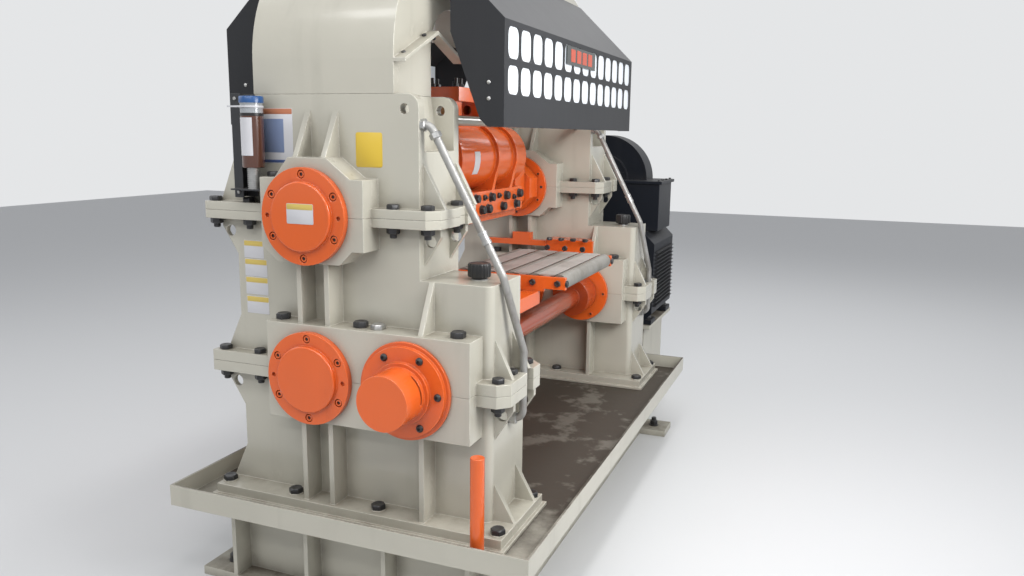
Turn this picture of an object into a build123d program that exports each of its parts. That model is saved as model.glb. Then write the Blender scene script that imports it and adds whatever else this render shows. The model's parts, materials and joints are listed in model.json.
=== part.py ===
from build123d import *
import os

os.makedirs("parts", exist_ok=True)

# A rotary flying shear. Millimetres, +X along the strip line, +Y from the operator side to the
# drive side, +Z up. The origin is on the floor, at the centre of the base frame.

# Base frame, its anchor lugs and the drip tray
tray_x = 1274
tray_apron = 109
tray_floor = 302
tray_plate = 10
rim_height = 71
rim_wall = 8
base_x = 948
base_y = 2140
base_flange = 25
base_flange_wide = 150
base_web = 16
base_web_inset = 75
base_rib_pitch = 290
base_rib_count = 4
base_long_rib_count = 7
base_cross_count = 3
base_rib_plate = 16
lug_plate = 30
lug_reach = 130
lug_width = 160
anchor_radius = 13
anchor_x = 1060
anchor_y = 1980

# Gear housings: one pattern, set down twice along Y
foot_x = 1046
foot_mid = -13
foot_depth = 358
foot_plate = 30
pad_plate = 12
pad_margin = 12
foot_gap = 1402
boss_reach = 88
flange_reach = 43
case_left = -474
case_right = 437
column_right = 201
main_x = -138
drive_x = 198
lower_z = 765
upper_z = 1270
lower_boss_left = -303
lower_boss_right = 407
lower_boss_drop = 146
lower_boss_rise = 167
upper_boss_left = -306
upper_boss_right = 61
upper_ledge_rise = 114
upper_boss_rise = 176
upper_boss_drop = 101
upper_keel_drop = 144
boss_neck = 112
boss_shoulder = 45
lower_ear_left = -561
lower_ear_right = 506
upper_ear_left = -561
upper_ear_right = 278
lower_ear_half = 36
upper_ear_half = 28
ear_chamfer = 34
notch_inset = 237
notch_wide = 56
lower_notch = 60
upper_notch = 12
box_rise = 318
box_setback = 40
box_round = 25
seam_rise = 365

# Ribs and gussets of the housings
rib_plate = 18
left_rib_x = -182
right_rib_x = -82
outer_rib_x = 240
rib_shy = 12
top_rib_gap = 47
foot_gusset_rise = 121
foot_gusset_x = 5
lower_gusset_rise = 120
lower_gusset_reach = 58
lower_bracket_reach = 62
lower_bracket_lip = 26
lower_bracket_drop = 123
upper_gusset_rise = 136
upper_gusset_reach = 72
upper_bracket_reach = 58
upper_bracket_lip = 27
upper_bracket_drop = 118
gusset_inset = 60
gusset_hole = 18
gusset_hole_drop = 42
gusset_hole_reach = 24

# Lifting eyes and the recess between them
eye_wall = 36
eye_radius = 15
eye_x = 153
eye_drop = 44
eye_round = 40
recess_drop = 168
recess_x = 110

# Bearings and caps
cap_radius = 148
cap_flange = 22
cap_dome = 14
cap_dome_radius = 106
cap_dome_round = 6
cap_screw_circle = 127
cap_screw_count = 6
cap_screw_bore = 13
cap_screw_sink = 10
cap_jack_bore = 7
drive_cap_radius = 139
drive_seat_radius = 151
drive_seat_plate = 12
drive_cap_plate = 14
collar_radius = 95
collar_reach = 14
stub_radius = 83
stub_reach = 119
stub_slot_wide = 9
stub_slot_sink = 8
stub_slot_gap = 14
stub_bridge_wide = 70
stub_bridge_angle = 80
stub_bridge_count = 3
ring_plate = 20
journal_radius = 70
journal_length = 200
fit_gap = 0.3
run_gap = 5

# Cranks and knife beams
crank_throw = 55
crank_web = 105
crank_web_radius = 118
crank_web_sides = 8
pin_radius = 50
beam_end_width = 166
beam_end_depth = 120
beam_end_chamfer = 45
tube_radius = 136
tube_lift = 155
beam_web = 25
beam_web_rim = 14
beam_web_places = (-256, 105, 306)
block_drop = 102
bar_high = 100
bar_drop = 82
bar_wide = 118
bar_step = 34
bar_lip = 32
knife_half = 440
knife_plate = 22
knife_shoulder = 43
knife_gap = 5

# Guide bearing on top of each knife beam
seat_wide = 124
seat_length = 300
seat_lift = 165
eye_block_length = 60
eye_block_high = 57
eye_bore = 20
clamp_wide = 156
clamp_high = 55

# Drive shaft across the machine
drive_radius = 45
hub_radius = 88
hub_length = 140

# Roller table
roller_count = 5
roller_radius = 30
roller_pitch = 97
roller_first_x = 32
roller_half = 300
roller_pin = 10
roller_proud = 1
rail_wall = 18
rail_high = 46
rail_drop = 8
slat_wide = 25
slat_plate = 8
slat_sink = 2
cross_bar_wide = 60
cross_bar_high = 50
cross_bar_riser = 15
cross_bar_inset = 70

# Bracket on the drive side housing, beside the table
bracket_left = 19
bracket_right = 257
bracket_high = 61
bracket_plate = 20
strap_left = -327
strap_drop = 8
strap_plate = 27
strap_wide = 40
strap_block_left = -156
strap_block_right = -61
strap_block_high = 36

# Top cover and side hoods
cover_left = -384
cover_right = 119
cover_radius = 420
cover_rise = 100
cover_skin = 6
cover_setback = 32
arch_radius = 141
brace_reach = 40
brace_plate = 12
brace_rise = 187
brace_low = 90
brace_peak = 212
brace_end = 400
brace_end_rise = 114
right_hood_reach = 261
left_hood_reach = 277
hood_start = -755
hood_end = 830
hood_skin = 4
hood_slope_skin = 6
hood_drop = 92
hood_face = 323
hood_slope_rise = 256
hood_plate_inset = 78
hood_hem = 55
hood_hem_slant = 27
hood_hem_rise = 24
hood_shoulder = 34
window_count = 14
window_pitch = 110
window_wide = 94
window_low = 88
window_high = 96
window_sill = 101
window_rail = 20
window_panel = 3
window_panel_margin = 12

# Small fittings on the housings
tie_x = 125
tie_drop = 70
tie_radius = 17
breather_x = 350
breather_neck_radius = 25
breather_neck_high = 10
breather_radius = 36
breather_high = 42
breather_round = 4
breather_inset = 192
post_x = 459
post_radius = 21
post_high = 316
post_setback = 60
cup_x = -346
cup_radius = 45
cup_drop = 225
cup_high = 217
cup_gap = 16
cup_plate = 5
cup_plate_left = -424
cup_plate_high = 320
cup_plate_wide = 33
cup_pump_radius = 26
cup_pump_high = 66
pipe_radius = 12
pipe_bend = 30
pipe_stub = 28
pipe_top_drop = 90
pipe_top_inset = 20
pipe_knee_rise = 22
pipe_knee_x = 447
pipe_knee_inset = 147
pipe_ear_x = 482
pipe_low_rise = 95
pipe_exit_drop = 125

# Main motor in line with the drive shaft, its blower on top and its pedestal on the floor
motor_gap = 110
motor_length = 560
motor_wide = 500
motor_chamfer = 60
motor_shield = 28
motor_shield_radius = 215
motor_foot_long = 110
motor_foot_high = 26
plenum_high = 268
plenum_wide = 490
plenum_length = 320
plenum_lid = 16
plenum_lid_rim = 14
blower_shift = 85
blower_radius = 240
blower_wide = 150
blower_inlet_radius = 135
blower_inlet_reach = 10
coupling_radius = 95
shaft_in_motor = 60
pedestal_plate = 20
pedestal_inset = 40


near_foot = -foot_gap / 2 - foot_depth
far_foot = foot_gap / 2
near_inner = near_foot + foot_depth
far_outer = far_foot + foot_depth
tray_y = foot_gap + 2 * (foot_depth + tray_apron)
foot_bottom = tray_floor + pad_plate
foot_top = foot_bottom + foot_plate
pass_z = (lower_z + upper_z) / 2
lower_boss_bottom = lower_z - lower_boss_drop
lower_boss_top = lower_z + lower_boss_rise
upper_boss_ledge = upper_z + upper_ledge_rise
upper_boss_top = upper_z + upper_boss_rise
upper_boss_bottom = upper_z - upper_boss_drop
upper_boss_keel = upper_z - upper_keel_drop
box_top = lower_z + box_rise
seam_z = upper_z + seam_rise


def facing(y):
    """Drawing plane that looks the way the operator does: X right, Z up, at depth y."""
    return Plane(origin=(0, y, 0), x_dir=(1, 0, 0), z_dir=(0, -1, 0))


def sideways(x):
    """Drawing plane across the line: Y right, Z up, at x."""
    return Plane(origin=(x, 0, 0), x_dir=(0, 1, 0), z_dir=(1, 0, 0))


def across(direction, inner, outer):
    """Drawing plane and depth of a piece between two distances from mid machine.

    direction is -1 on the operator side and 1 on the drive side."""
    if direction < 0:
        return facing(-inner), outer - inner
    return facing(outer), outer - inner


def save(part, name):
    part.label = name
    export_step(part, f"parts/{name}.step")


def cross_rib(x, *outline):
    """Upright plate across the line at x, its outline in Y and Z."""
    with BuildPart() as plate:
        with BuildSketch(sideways(x)):
            with BuildLine():
                Polyline(*outline, close=True)
            make_face()
        extrude(amount=rib_plate / 2, both=True)
    return plate.part


def long_gusset(y, *outline):
    """Upright plate along the line at y, its outline in X and Z."""
    with BuildPart() as plate:
        with BuildSketch(facing(y)):
            with BuildLine():
                Polyline(*outline, close=True)
            make_face()
        extrude(amount=rib_plate / 2, both=True)
    return plate.part


def flange_bracket(y, root_x, tip_x, top_z, lip, drop):
    """Plate under a flange: upright for a lip at its tip, slanted back to its root, with a round hole."""
    slant = (top_z - drop, top_z - lip)
    with BuildPart() as plate:
        with BuildSketch(facing(y)):
            with BuildLine():
                Polyline((root_x, top_z), (tip_x, top_z), (tip_x, slant[1]), (root_x, slant[0]), close=True)
            make_face()
            hole_side = 1 if tip_x > root_x else -1
            with Locations((root_x + hole_side * gusset_hole_reach, top_z - gusset_hole_drop)):
                Circle(gusset_hole, mode=Mode.SUBTRACT)
        extrude(amount=rib_plate / 2, both=True)
    return plate.part


# Base frame: a ring of flanged beams with one across its middle, plate ribs, and anchor lugs
ring_high = tray_floor - tray_plate
bay_x = base_x - 2 * base_flange_wide
bay_y = (base_y - base_cross_count * base_flange_wide) / 2
with BuildPart() as base_frame:
    for flange_z in (0, ring_high - base_flange):
        with BuildSketch(Plane.XY.offset(flange_z)):
            Rectangle(base_x, base_y)
            with GridLocations(bay_x, bay_y + base_flange_wide, 1, 2):
                Rectangle(bay_x, bay_y, mode=Mode.SUBTRACT)
        extrude(amount=base_flange)
    web_x = base_x - 2 * base_web_inset
    web_y = base_y - 2 * base_web_inset
    with BuildSketch(Plane.XY.offset(base_flange)):
        Rectangle(web_x, web_y)
        Rectangle(web_x - 2 * base_web, web_y - 2 * base_web, mode=Mode.SUBTRACT)
        with GridLocations(1, (web_y - base_web) / 2, 1, base_cross_count):
            Rectangle(base_x, base_web)
    extrude(amount=ring_high - 2 * base_flange)
    rib_y = (base_y - base_web_inset) / 2
    with BuildSketch(Plane.XY.offset(base_flange)):
        for index in range(base_rib_count):
            rib_x = index * base_rib_pitch - (base_x - base_rib_plate) / 2
            with Locations((rib_x, rib_y), (rib_x, -rib_y)):
                Rectangle(base_rib_plate, base_web_inset)
        with GridLocations(base_x - base_web_inset, base_rib_pitch, 2, base_long_rib_count):
            Rectangle(base_web_inset, base_rib_plate)
    extrude(amount=ring_high - 2 * base_flange)
    with BuildSketch(Plane.XY):
        with GridLocations(base_x + lug_reach, anchor_y, 2, 2):
            Rectangle(lug_reach, lug_width)
        with GridLocations(anchor_x, anchor_y, 2, 2):
            Circle(anchor_radius, mode=Mode.SUBTRACT)
    extrude(amount=lug_plate)
save(base_frame.part, "base_frame")

# Drip tray: floor sheet with a raised rim
with BuildPart() as drip_tray:
    with BuildSketch(Plane.XY.offset(tray_floor - tray_plate)):
        Rectangle(tray_x, tray_y)
    extrude(amount=tray_plate)
    with BuildSketch(Plane.XY.offset(tray_floor)):
        Rectangle(tray_x, tray_y)
        Rectangle(tray_x - 2 * rim_wall, tray_y - 2 * rim_wall, mode=Mode.SUBTRACT)
    extrude(amount=rim_height - tray_plate)
save(drip_tray.part, "drip_tray")


def ear_plate(left, right, foot_y, notch):
    """Split flange outline seen from above: right corners cut off, a notch there for the pipe."""
    front = foot_y + flange_reach
    back = foot_y + foot_depth
    with BuildSketch(mode=Mode.PRIVATE) as outline:
        with Locations(((left + right) / 2, (front + back) / 2)):
            Rectangle(right - left, back - front)
        chamfer(outline.vertices().group_by(Axis.X)[-1], ear_chamfer)
        with Locations((right, foot_y + notch_inset)):
            Rectangle(2 * notch, notch_wide, mode=Mode.SUBTRACT)
    return outline.sketch


def lower_case(foot_y):
    """Lower part of a gear housing: foot, ribs, lower boss half and split flange half."""
    back = foot_y + foot_depth
    front = foot_y + boss_reach
    ribs = []
    for x in (left_rib_x, right_rib_x, outer_rib_x):
        corners = ((foot_y + rib_shy, lower_boss_bottom), (foot_y + rib_shy, foot_top))
        ribs.append(cross_rib(x, *corners, (front, foot_top), (front, lower_boss_bottom)))
    flange_bottom = lower_z - lower_ear_half
    foot_gusset_z = foot_top + foot_gusset_rise
    toe_reach = foot_x / 2 - foot_gusset_x
    for y in (front + box_round + rib_plate / 2, back - gusset_inset):
        toe = (foot_mid + toe_reach, foot_top)
        ribs.append(long_gusset(y, (case_right, foot_gusset_z), (case_right, foot_top), toe))
        tip_x = case_right + lower_bracket_reach
        plate = flange_bracket(y, case_right, tip_x, flange_bottom, lower_bracket_lip, lower_bracket_drop)
        ribs.append(plate)
    for y in (front + rib_plate / 2, back - gusset_inset):
        toe = (foot_mid - toe_reach, foot_top)
        ribs.append(long_gusset(y, (case_left, foot_gusset_z), (case_left, foot_top), toe))
        tip_x = case_left - lower_bracket_reach
        ribs.append(flange_bracket(y, case_left, tip_x, flange_bottom, lower_bracket_lip, lower_bracket_drop))
    with BuildPart() as case:
        with BuildSketch(Plane.XY.offset(tray_floor)):
            with Locations((foot_mid, (foot_y + back) / 2)):
                Rectangle(foot_x + 2 * pad_margin, foot_depth + 2 * pad_margin)
        extrude(amount=pad_plate)
        with BuildSketch(Plane.XY.offset(foot_bottom)):
            with Locations((foot_mid, (foot_y + back) / 2)):
                Rectangle(foot_x, foot_depth)
        extrude(amount=foot_plate)
        with BuildSketch(Plane.XY.offset(foot_top)):
            with Locations(((case_left + case_right) / 2, (front + back) / 2)):
                body = Rectangle(case_right - case_left, back - front)
            fillet(body.vertices().group_by(Axis.X)[-1].sort_by(Axis.Y)[0], box_round)
        extrude(amount=lower_z - foot_top)
        with BuildSketch(facing(front)):
            with Locations(((lower_boss_left + lower_boss_right) / 2, (lower_boss_bottom + lower_z) / 2)):
                Rectangle(lower_boss_right - lower_boss_left, lower_z - lower_boss_bottom)
        extrude(amount=boss_reach)
        with BuildSketch(Plane.XY.offset(lower_z - lower_ear_half)):
            add(ear_plate(lower_ear_left, lower_ear_right, foot_y, lower_notch))
        extrude(amount=lower_ear_half)
        add(ribs)
        with BuildSketch(facing(back)):
            with Locations((main_x, lower_z), (drive_x, lower_z)):
                Circle(journal_radius + fit_gap)
        extrude(amount=foot_depth, mode=Mode.SUBTRACT)
    return case.part


def middle_case(foot_y):
    """Middle part of a gear housing: upper half of the lower boss, side box and column."""
    back = foot_y + foot_depth
    front = foot_y + boss_reach
    ear_z = lower_z + lower_ear_half
    gusset_z = ear_z + lower_gusset_rise
    flange_bottom = upper_z - upper_ear_half
    ribs = []
    for x in (left_rib_x, right_rib_x):
        corners = ((foot_y + rib_shy, upper_boss_bottom), (foot_y + rib_shy, lower_boss_top))
        ribs.append(cross_rib(x, *corners, (front, lower_boss_top), (front, upper_boss_bottom)))
    toe = foot_y + rib_shy
    box_front = back - box_setback
    ribs.append(cross_rib(outer_rib_x, (front, box_top), (front, lower_boss_top), (toe, lower_boss_top)))
    for y in (front + box_round + rib_plate / 2, box_front - gusset_inset):
        tip = (case_right + lower_gusset_reach, ear_z)
        ribs.append(long_gusset(y, (case_right, gusset_z), (case_right, ear_z), tip))
    for y in (front + rib_plate / 2, back - gusset_inset):
        tip = (case_left - lower_gusset_reach, ear_z)
        ribs.append(long_gusset(y, (case_left, gusset_z), (case_left, ear_z), tip))
        tip_x = case_left - upper_bracket_reach
        ribs.append(flange_bracket(y, case_left, tip_x, flange_bottom, upper_bracket_lip, upper_bracket_drop))
    for y in (front + box_round + rib_plate / 2, back - gusset_inset):
        tip_x = column_right + upper_bracket_reach
        plate = flange_bracket(y, column_right, tip_x, flange_bottom, upper_bracket_lip, upper_bracket_drop)
        ribs.append(plate)
    with BuildPart() as case:
        with BuildSketch(facing(back)):
            with Locations(((case_left + column_right) / 2, (lower_z + upper_z) / 2)):
                Rectangle(column_right - case_left, upper_z - lower_z)
        extrude(amount=back - front)
        with BuildSketch(Plane.XY.offset(lower_z)):
            with Locations(((column_right + case_right) / 2, (front + box_front) / 2)):
                box = Rectangle(case_right - column_right, box_front - front)
            fillet(box.vertices().group_by(Axis.X)[-1].sort_by(Axis.Y)[0], box_round)
        extrude(amount=box_top - lower_z)
        with BuildSketch(facing(front)):
            with Locations(((lower_boss_left + lower_boss_right) / 2, (lower_z + lower_boss_top) / 2)):
                Rectangle(lower_boss_right - lower_boss_left, lower_boss_top - lower_z)
            with BuildLine():
                Polyline(
                    (upper_boss_left, upper_z),
                    (upper_boss_left, upper_boss_bottom),
                    (main_x - boss_neck, upper_boss_keel),
                    (main_x + boss_neck, upper_boss_keel),
                    (main_x + boss_neck + boss_shoulder, upper_boss_bottom),
                    (upper_boss_right, upper_boss_bottom),
                    (upper_boss_right, upper_z),
                    close=True,
                )
            make_face()
        extrude(amount=boss_reach)
        with BuildSketch(Plane.XY.offset(lower_z)):
            add(ear_plate(lower_ear_left, lower_ear_right, foot_y, lower_notch))
        extrude(amount=lower_ear_half)
        with BuildSketch(Plane.XY.offset(upper_z - upper_ear_half)):
            add(ear_plate(upper_ear_left, upper_ear_right, foot_y, upper_notch))
        extrude(amount=upper_ear_half)
        add(ribs)
        with BuildSketch(facing(back)):
            with Locations((main_x, lower_z), (drive_x, lower_z), (main_x, upper_z)):
                Circle(journal_radius + fit_gap)
        extrude(amount=foot_depth, mode=Mode.SUBTRACT)
    return case.part


def upper_case(foot_y):
    """Top part of a gear housing: bearing boss half, split flange half and lifting eyes."""
    back = foot_y + foot_depth
    front = foot_y + boss_reach
    ear_z = upper_z + upper_ear_half
    gusset_z = ear_z + upper_gusset_rise
    ribs = []
    for x in (left_rib_x, right_rib_x):
        toe = (foot_y + rib_shy, upper_boss_top)
        ribs.append(cross_rib(x, (front, seam_z - top_rib_gap), (front, upper_boss_top), toe))
    for y in (front + box_round + rib_plate / 2, back - rib_plate):
        tip = (column_right + upper_gusset_reach, ear_z)
        ribs.append(long_gusset(y, (column_right, gusset_z), (column_right, ear_z), tip))
    for y in (front + rib_plate / 2, back - gusset_inset):
        tip = (case_left - upper_bracket_reach, ear_z)
        ribs.append(long_gusset(y, (case_left, gusset_z), (case_left, ear_z), tip))
    with BuildPart() as case:
        with BuildSketch(facing(back)):
            with Locations(((case_left + column_right) / 2, (upper_z + seam_z) / 2)):
                Rectangle(column_right - case_left, seam_z - upper_z)
        extrude(amount=back - front)
        crown = case.edges().filter_by(Axis.Y).group_by(Axis.Z)[-1].sort_by(Axis.X)[-1]
        fillet(crown, eye_round)
        with BuildSketch(facing(front)):
            with BuildLine():
                Polyline(
                    (upper_boss_left, upper_z),
                    (upper_boss_left, upper_boss_ledge),
                    (main_x - boss_neck, upper_boss_ledge),
                    (left_rib_x - rib_plate, upper_boss_top),
                    (right_rib_x + rib_plate, upper_boss_top),
                    (main_x + boss_neck + boss_shoulder, upper_boss_ledge),
                    (upper_boss_right, upper_boss_ledge),
                    (upper_boss_right, upper_z),
                    close=True,
                )
            make_face()
        extrude(amount=boss_reach)
        with BuildSketch(Plane.XY.offset(upper_z)):
            add(ear_plate(upper_ear_left, upper_ear_right, foot_y, upper_notch))
        extrude(amount=upper_ear_half)
        add(ribs)
        with BuildSketch(facing(back)):
            with Locations((main_x, upper_z)):
                Circle(journal_radius + fit_gap)
        extrude(amount=foot_depth, mode=Mode.SUBTRACT)
        with BuildSketch(facing(back - eye_wall)):
            with BuildLine():
                Polyline(
                    (column_right, seam_z - recess_drop),
                    (column_right, seam_z),
                    (cover_right, seam_z),
                    (recess_x + eye_wall, seam_z - recess_drop),
                    close=True,
                )
            make_face()
        extrude(amount=back - front - 2 * eye_wall, mode=Mode.SUBTRACT)
        with BuildSketch(facing(back)):
            with Locations((eye_x, seam_z - eye_drop)):
                Circle(eye_radius)
        extrude(amount=back - front, mode=Mode.SUBTRACT)
    return case.part


for side, foot_y in (("near", near_foot), ("far", far_foot)):
    save(lower_case(foot_y), f"{side}_lower_case")
    save(middle_case(foot_y), f"{side}_middle_case")
    save(upper_case(foot_y), f"{side}_upper_case")


# Round caps that close the bearings on the operator side
def flat_cap(x, z, face_y):
    """Bearing cap with a rounded centre, sunk screw seats and two jacking holes, its back at face_y."""
    with BuildPart() as cap:
        with BuildSketch(facing(face_y)):
            with Locations((x, z)):
                Circle(cap_radius)
        extrude(amount=cap_flange)
        with BuildSketch(facing(face_y - cap_flange)):
            with Locations((x, z)):
                Circle(cap_dome_radius)
        extrude(amount=cap_dome)
        fillet(cap.edges().filter_by(GeomType.CIRCLE).sort_by(Axis.Y)[0], cap_dome_round)
        with BuildSketch(facing(face_y - cap_flange)):
            with Locations((x, z)):
                with PolarLocations(cap_screw_circle, cap_screw_count, start_angle=90):
                    Circle(cap_screw_bore)
                with GridLocations(2 * cap_screw_circle, 1, 2, 1):
                    Circle(cap_jack_bore)
        extrude(amount=-cap_screw_sink, mode=Mode.SUBTRACT)
    return cap.part


save(flat_cap(main_x, upper_z, near_foot), "near_upper_cap")
save(flat_cap(main_x, lower_z, near_foot), "near_lower_cap")

# Cap over the end of the drive shaft: two flanges, a collar and a stub with slots round its root
stub_front = near_foot - drive_seat_plate - drive_cap_plate - stub_reach
with BuildPart() as near_drive_cap:
    cap_y = near_foot
    steps = (
        (drive_seat_radius, drive_seat_plate),
        (drive_cap_radius, drive_cap_plate),
        (collar_radius, collar_reach),
    )
    for radius, depth in steps:
        with BuildSketch(facing(cap_y)):
            with Locations((drive_x, lower_z)):
                Circle(radius)
        extrude(amount=depth)
        cap_y -= depth
    with BuildSketch(facing(cap_y)):
        with Locations((drive_x, lower_z)):
            Circle(stub_radius)
    extrude(amount=cap_y - stub_front)
    with BuildSketch(facing(cap_y - stub_slot_gap)):
        with Locations((drive_x, lower_z)):
            Circle(stub_radius)
            Circle(stub_radius - stub_slot_sink, mode=Mode.SUBTRACT)
            with PolarLocations(stub_radius, stub_bridge_count, start_angle=stub_bridge_angle):
                Rectangle(stub_radius, stub_bridge_wide, mode=Mode.SUBTRACT)
    extrude(amount=stub_slot_wide, mode=Mode.SUBTRACT)
save(near_drive_cap.part, "near_drive_cap")

# Bearing caps on the drive side, away from the operator
with BuildPart() as far_caps:
    with BuildSketch(facing(far_outer + cap_flange)):
        with Locations((main_x, upper_z), (main_x, lower_z)):
            Circle(cap_radius)
    extrude(amount=cap_flange)
save(far_caps.part, "far_caps")


# Bearing rings round the shafts, between the housings
def bearing_rings(back_y):
    """Three covers with a hole each for their shafts, their backs at back_y."""
    with BuildPart() as rings:
        with BuildSketch(facing(back_y)):
            with Locations((main_x, upper_z), (main_x, lower_z)):
                Circle(cap_radius)
                Circle(journal_radius + fit_gap, mode=Mode.SUBTRACT)
            with Locations((drive_x, lower_z)):
                Circle(drive_cap_radius)
                Circle(drive_radius + fit_gap, mode=Mode.SUBTRACT)
        extrude(amount=ring_plate)
    return rings.part


save(bearing_rings(near_inner + ring_plate), "near_rings")
save(bearing_rings(far_foot), "far_rings")

# Stub cranks: a journal in the housing, an octagonal web and an offset pin, near and far
web_outer = far_foot - ring_plate - run_gap
web_inner = web_outer - crank_web
beam_end = web_inner - run_gap
block_half = beam_end - beam_end_depth


def stub_crank(journal_z, throw, direction):
    """Crank that carries one end of a knife beam."""
    with BuildPart() as crank:
        plane, depth = across(direction, web_outer, far_foot + journal_length)
        with BuildSketch(plane):
            with Locations((main_x, journal_z)):
                Circle(journal_radius)
        extrude(amount=depth)
        plane, depth = across(direction, web_inner, web_outer)
        with BuildSketch(plane):
            with Locations((main_x, journal_z)):
                RegularPolygon(crank_web_radius, crank_web_sides, rotation=180 / crank_web_sides)
        extrude(amount=depth)
        plane, depth = across(direction, block_half + run_gap, web_inner)
        with BuildSketch(plane):
            with Locations((main_x, journal_z + throw)):
                Circle(pin_radius)
        extrude(amount=depth)
    return crank.part


for side, direction in (("near", -1), ("far", 1)):
    save(stub_crank(upper_z, crank_throw, direction), f"{side}_upper_crank")
    save(stub_crank(lower_z, -crank_throw, direction), f"{side}_lower_crank")

# Drive shaft that joins the two gear housings and the motor, with a hub beside each bearing
motor_front = far_outer + motor_gap
with BuildPart() as drive_shaft:
    with BuildSketch(facing(motor_front + shaft_in_motor)):
        with Locations((drive_x, lower_z)):
            Circle(drive_radius)
    extrude(amount=motor_front + shaft_in_motor - near_foot - boss_reach)
    for direction in (-1, 1):
        plane, depth = across(direction, web_outer - hub_length, web_outer)
        with BuildSketch(plane):
            with Locations((drive_x, lower_z)):
                Circle(hub_radius)
        extrude(amount=depth)
    with BuildSketch(facing(motor_front - run_gap)):
        with Locations((drive_x, lower_z)):
            Circle(coupling_radius)
    extrude(amount=motor_gap - cap_flange - 2 * run_gap)
save(drive_shaft.part, "drive_shaft")

# Knife beam: stiffening tube, plate webs, bearing blocks on the crank pins and a knife bar
tube_z = upper_z + tube_lift
block_bottom = upper_z - block_drop
bar_bottom = upper_z - bar_drop
bar_top = bar_bottom + bar_high
bar_right = main_x + bar_wide
pin_z = upper_z + crank_throw
seat_z = tube_z + seat_lift
with BuildPart() as upper_beam:
    for direction in (-1, 1):
        plane, depth = across(direction, block_half, beam_end)
        with BuildSketch(plane):
            with Locations((main_x, (block_bottom + tube_z) / 2)):
                block = Rectangle(beam_end_width, tube_z - block_bottom)
            chamfer(block.vertices().group_by(Axis.Y)[0], beam_end_chamfer)
            with Locations((main_x, pin_z)):
                Circle(pin_radius + fit_gap, mode=Mode.SUBTRACT)
        extrude(amount=depth)
    with BuildSketch(facing(block_half)):
        with Locations((main_x, tube_z)):
            Circle(tube_radius)
        with BuildLine():
            Polyline(
                (main_x, bar_bottom - bar_lip),
                (bar_right - bar_step, bar_bottom - bar_lip),
                (bar_right - bar_step, bar_bottom),
                (bar_right, bar_bottom),
                (bar_right, bar_top),
                (main_x, bar_top),
                close=True,
            )
        make_face()
    extrude(amount=2 * block_half)
    web_half = tube_radius + beam_web_rim
    for web_place in beam_web_places:
        with BuildSketch(facing(web_place + beam_web / 2)):
            with Locations((main_x, tube_z)):
                Circle(web_half)
            with BuildLine():
                Polyline(
                    (main_x - web_half, tube_z),
                    (main_x, bar_top),
                    (bar_right, bar_top),
                    (main_x + web_half, tube_z),
                    close=True,
                )
            make_face()
        extrude(amount=beam_web)
    with BuildSketch(facing(seat_length / 2)):
        with Locations((main_x, (tube_z + seat_z) / 2)):
            Rectangle(seat_wide, seat_z - tube_z)
    extrude(amount=seat_length)
save(upper_beam.part, "upper_beam")

# The lower beam is the upper one turned half a turn about the pass line
half_turn = Axis((main_x, 0, pass_z), (0, 1, 0))
save(upper_beam.part.rotate(half_turn, 180), "lower_beam")

# Knives, bolted to the faces of the bars that look at each other when they pass
knife_tip = pass_z + 2 * crank_throw + knife_gap / 2
knife_top = bar_top - knife_shoulder
with BuildPart() as upper_knife:
    with BuildSketch(facing(knife_half)):
        with Locations((main_x - knife_plate / 2, (knife_tip + knife_top) / 2)):
            Rectangle(knife_plate, knife_top - knife_tip)
    extrude(amount=2 * knife_half)
save(upper_knife.part, "upper_knife")
save(upper_knife.part.rotate(half_turn, 180), "lower_knife")

# Guide bearing that keeps a knife beam upright: two eyes on a seat, under one clamp block
with BuildPart() as upper_guide_bearing:
    for direction in (-1, 1):
        plane, depth = across(direction, seat_length / 2 - eye_block_length, seat_length / 2)
        with BuildSketch(plane):
            with Locations((main_x, seat_z + eye_block_high / 2)):
                Rectangle(seat_wide, eye_block_high)
                Circle(eye_bore, mode=Mode.SUBTRACT)
        extrude(amount=depth)
    with BuildSketch(facing(seat_length / 2)):
        with Locations((main_x, seat_z + eye_block_high + clamp_high / 2)):
            Rectangle(clamp_wide, clamp_high)
    extrude(amount=seat_length)
save(upper_guide_bearing.part, "upper_guide_bearing")
save(upper_guide_bearing.part.rotate(half_turn, 180), "lower_guide_bearing")

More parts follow.
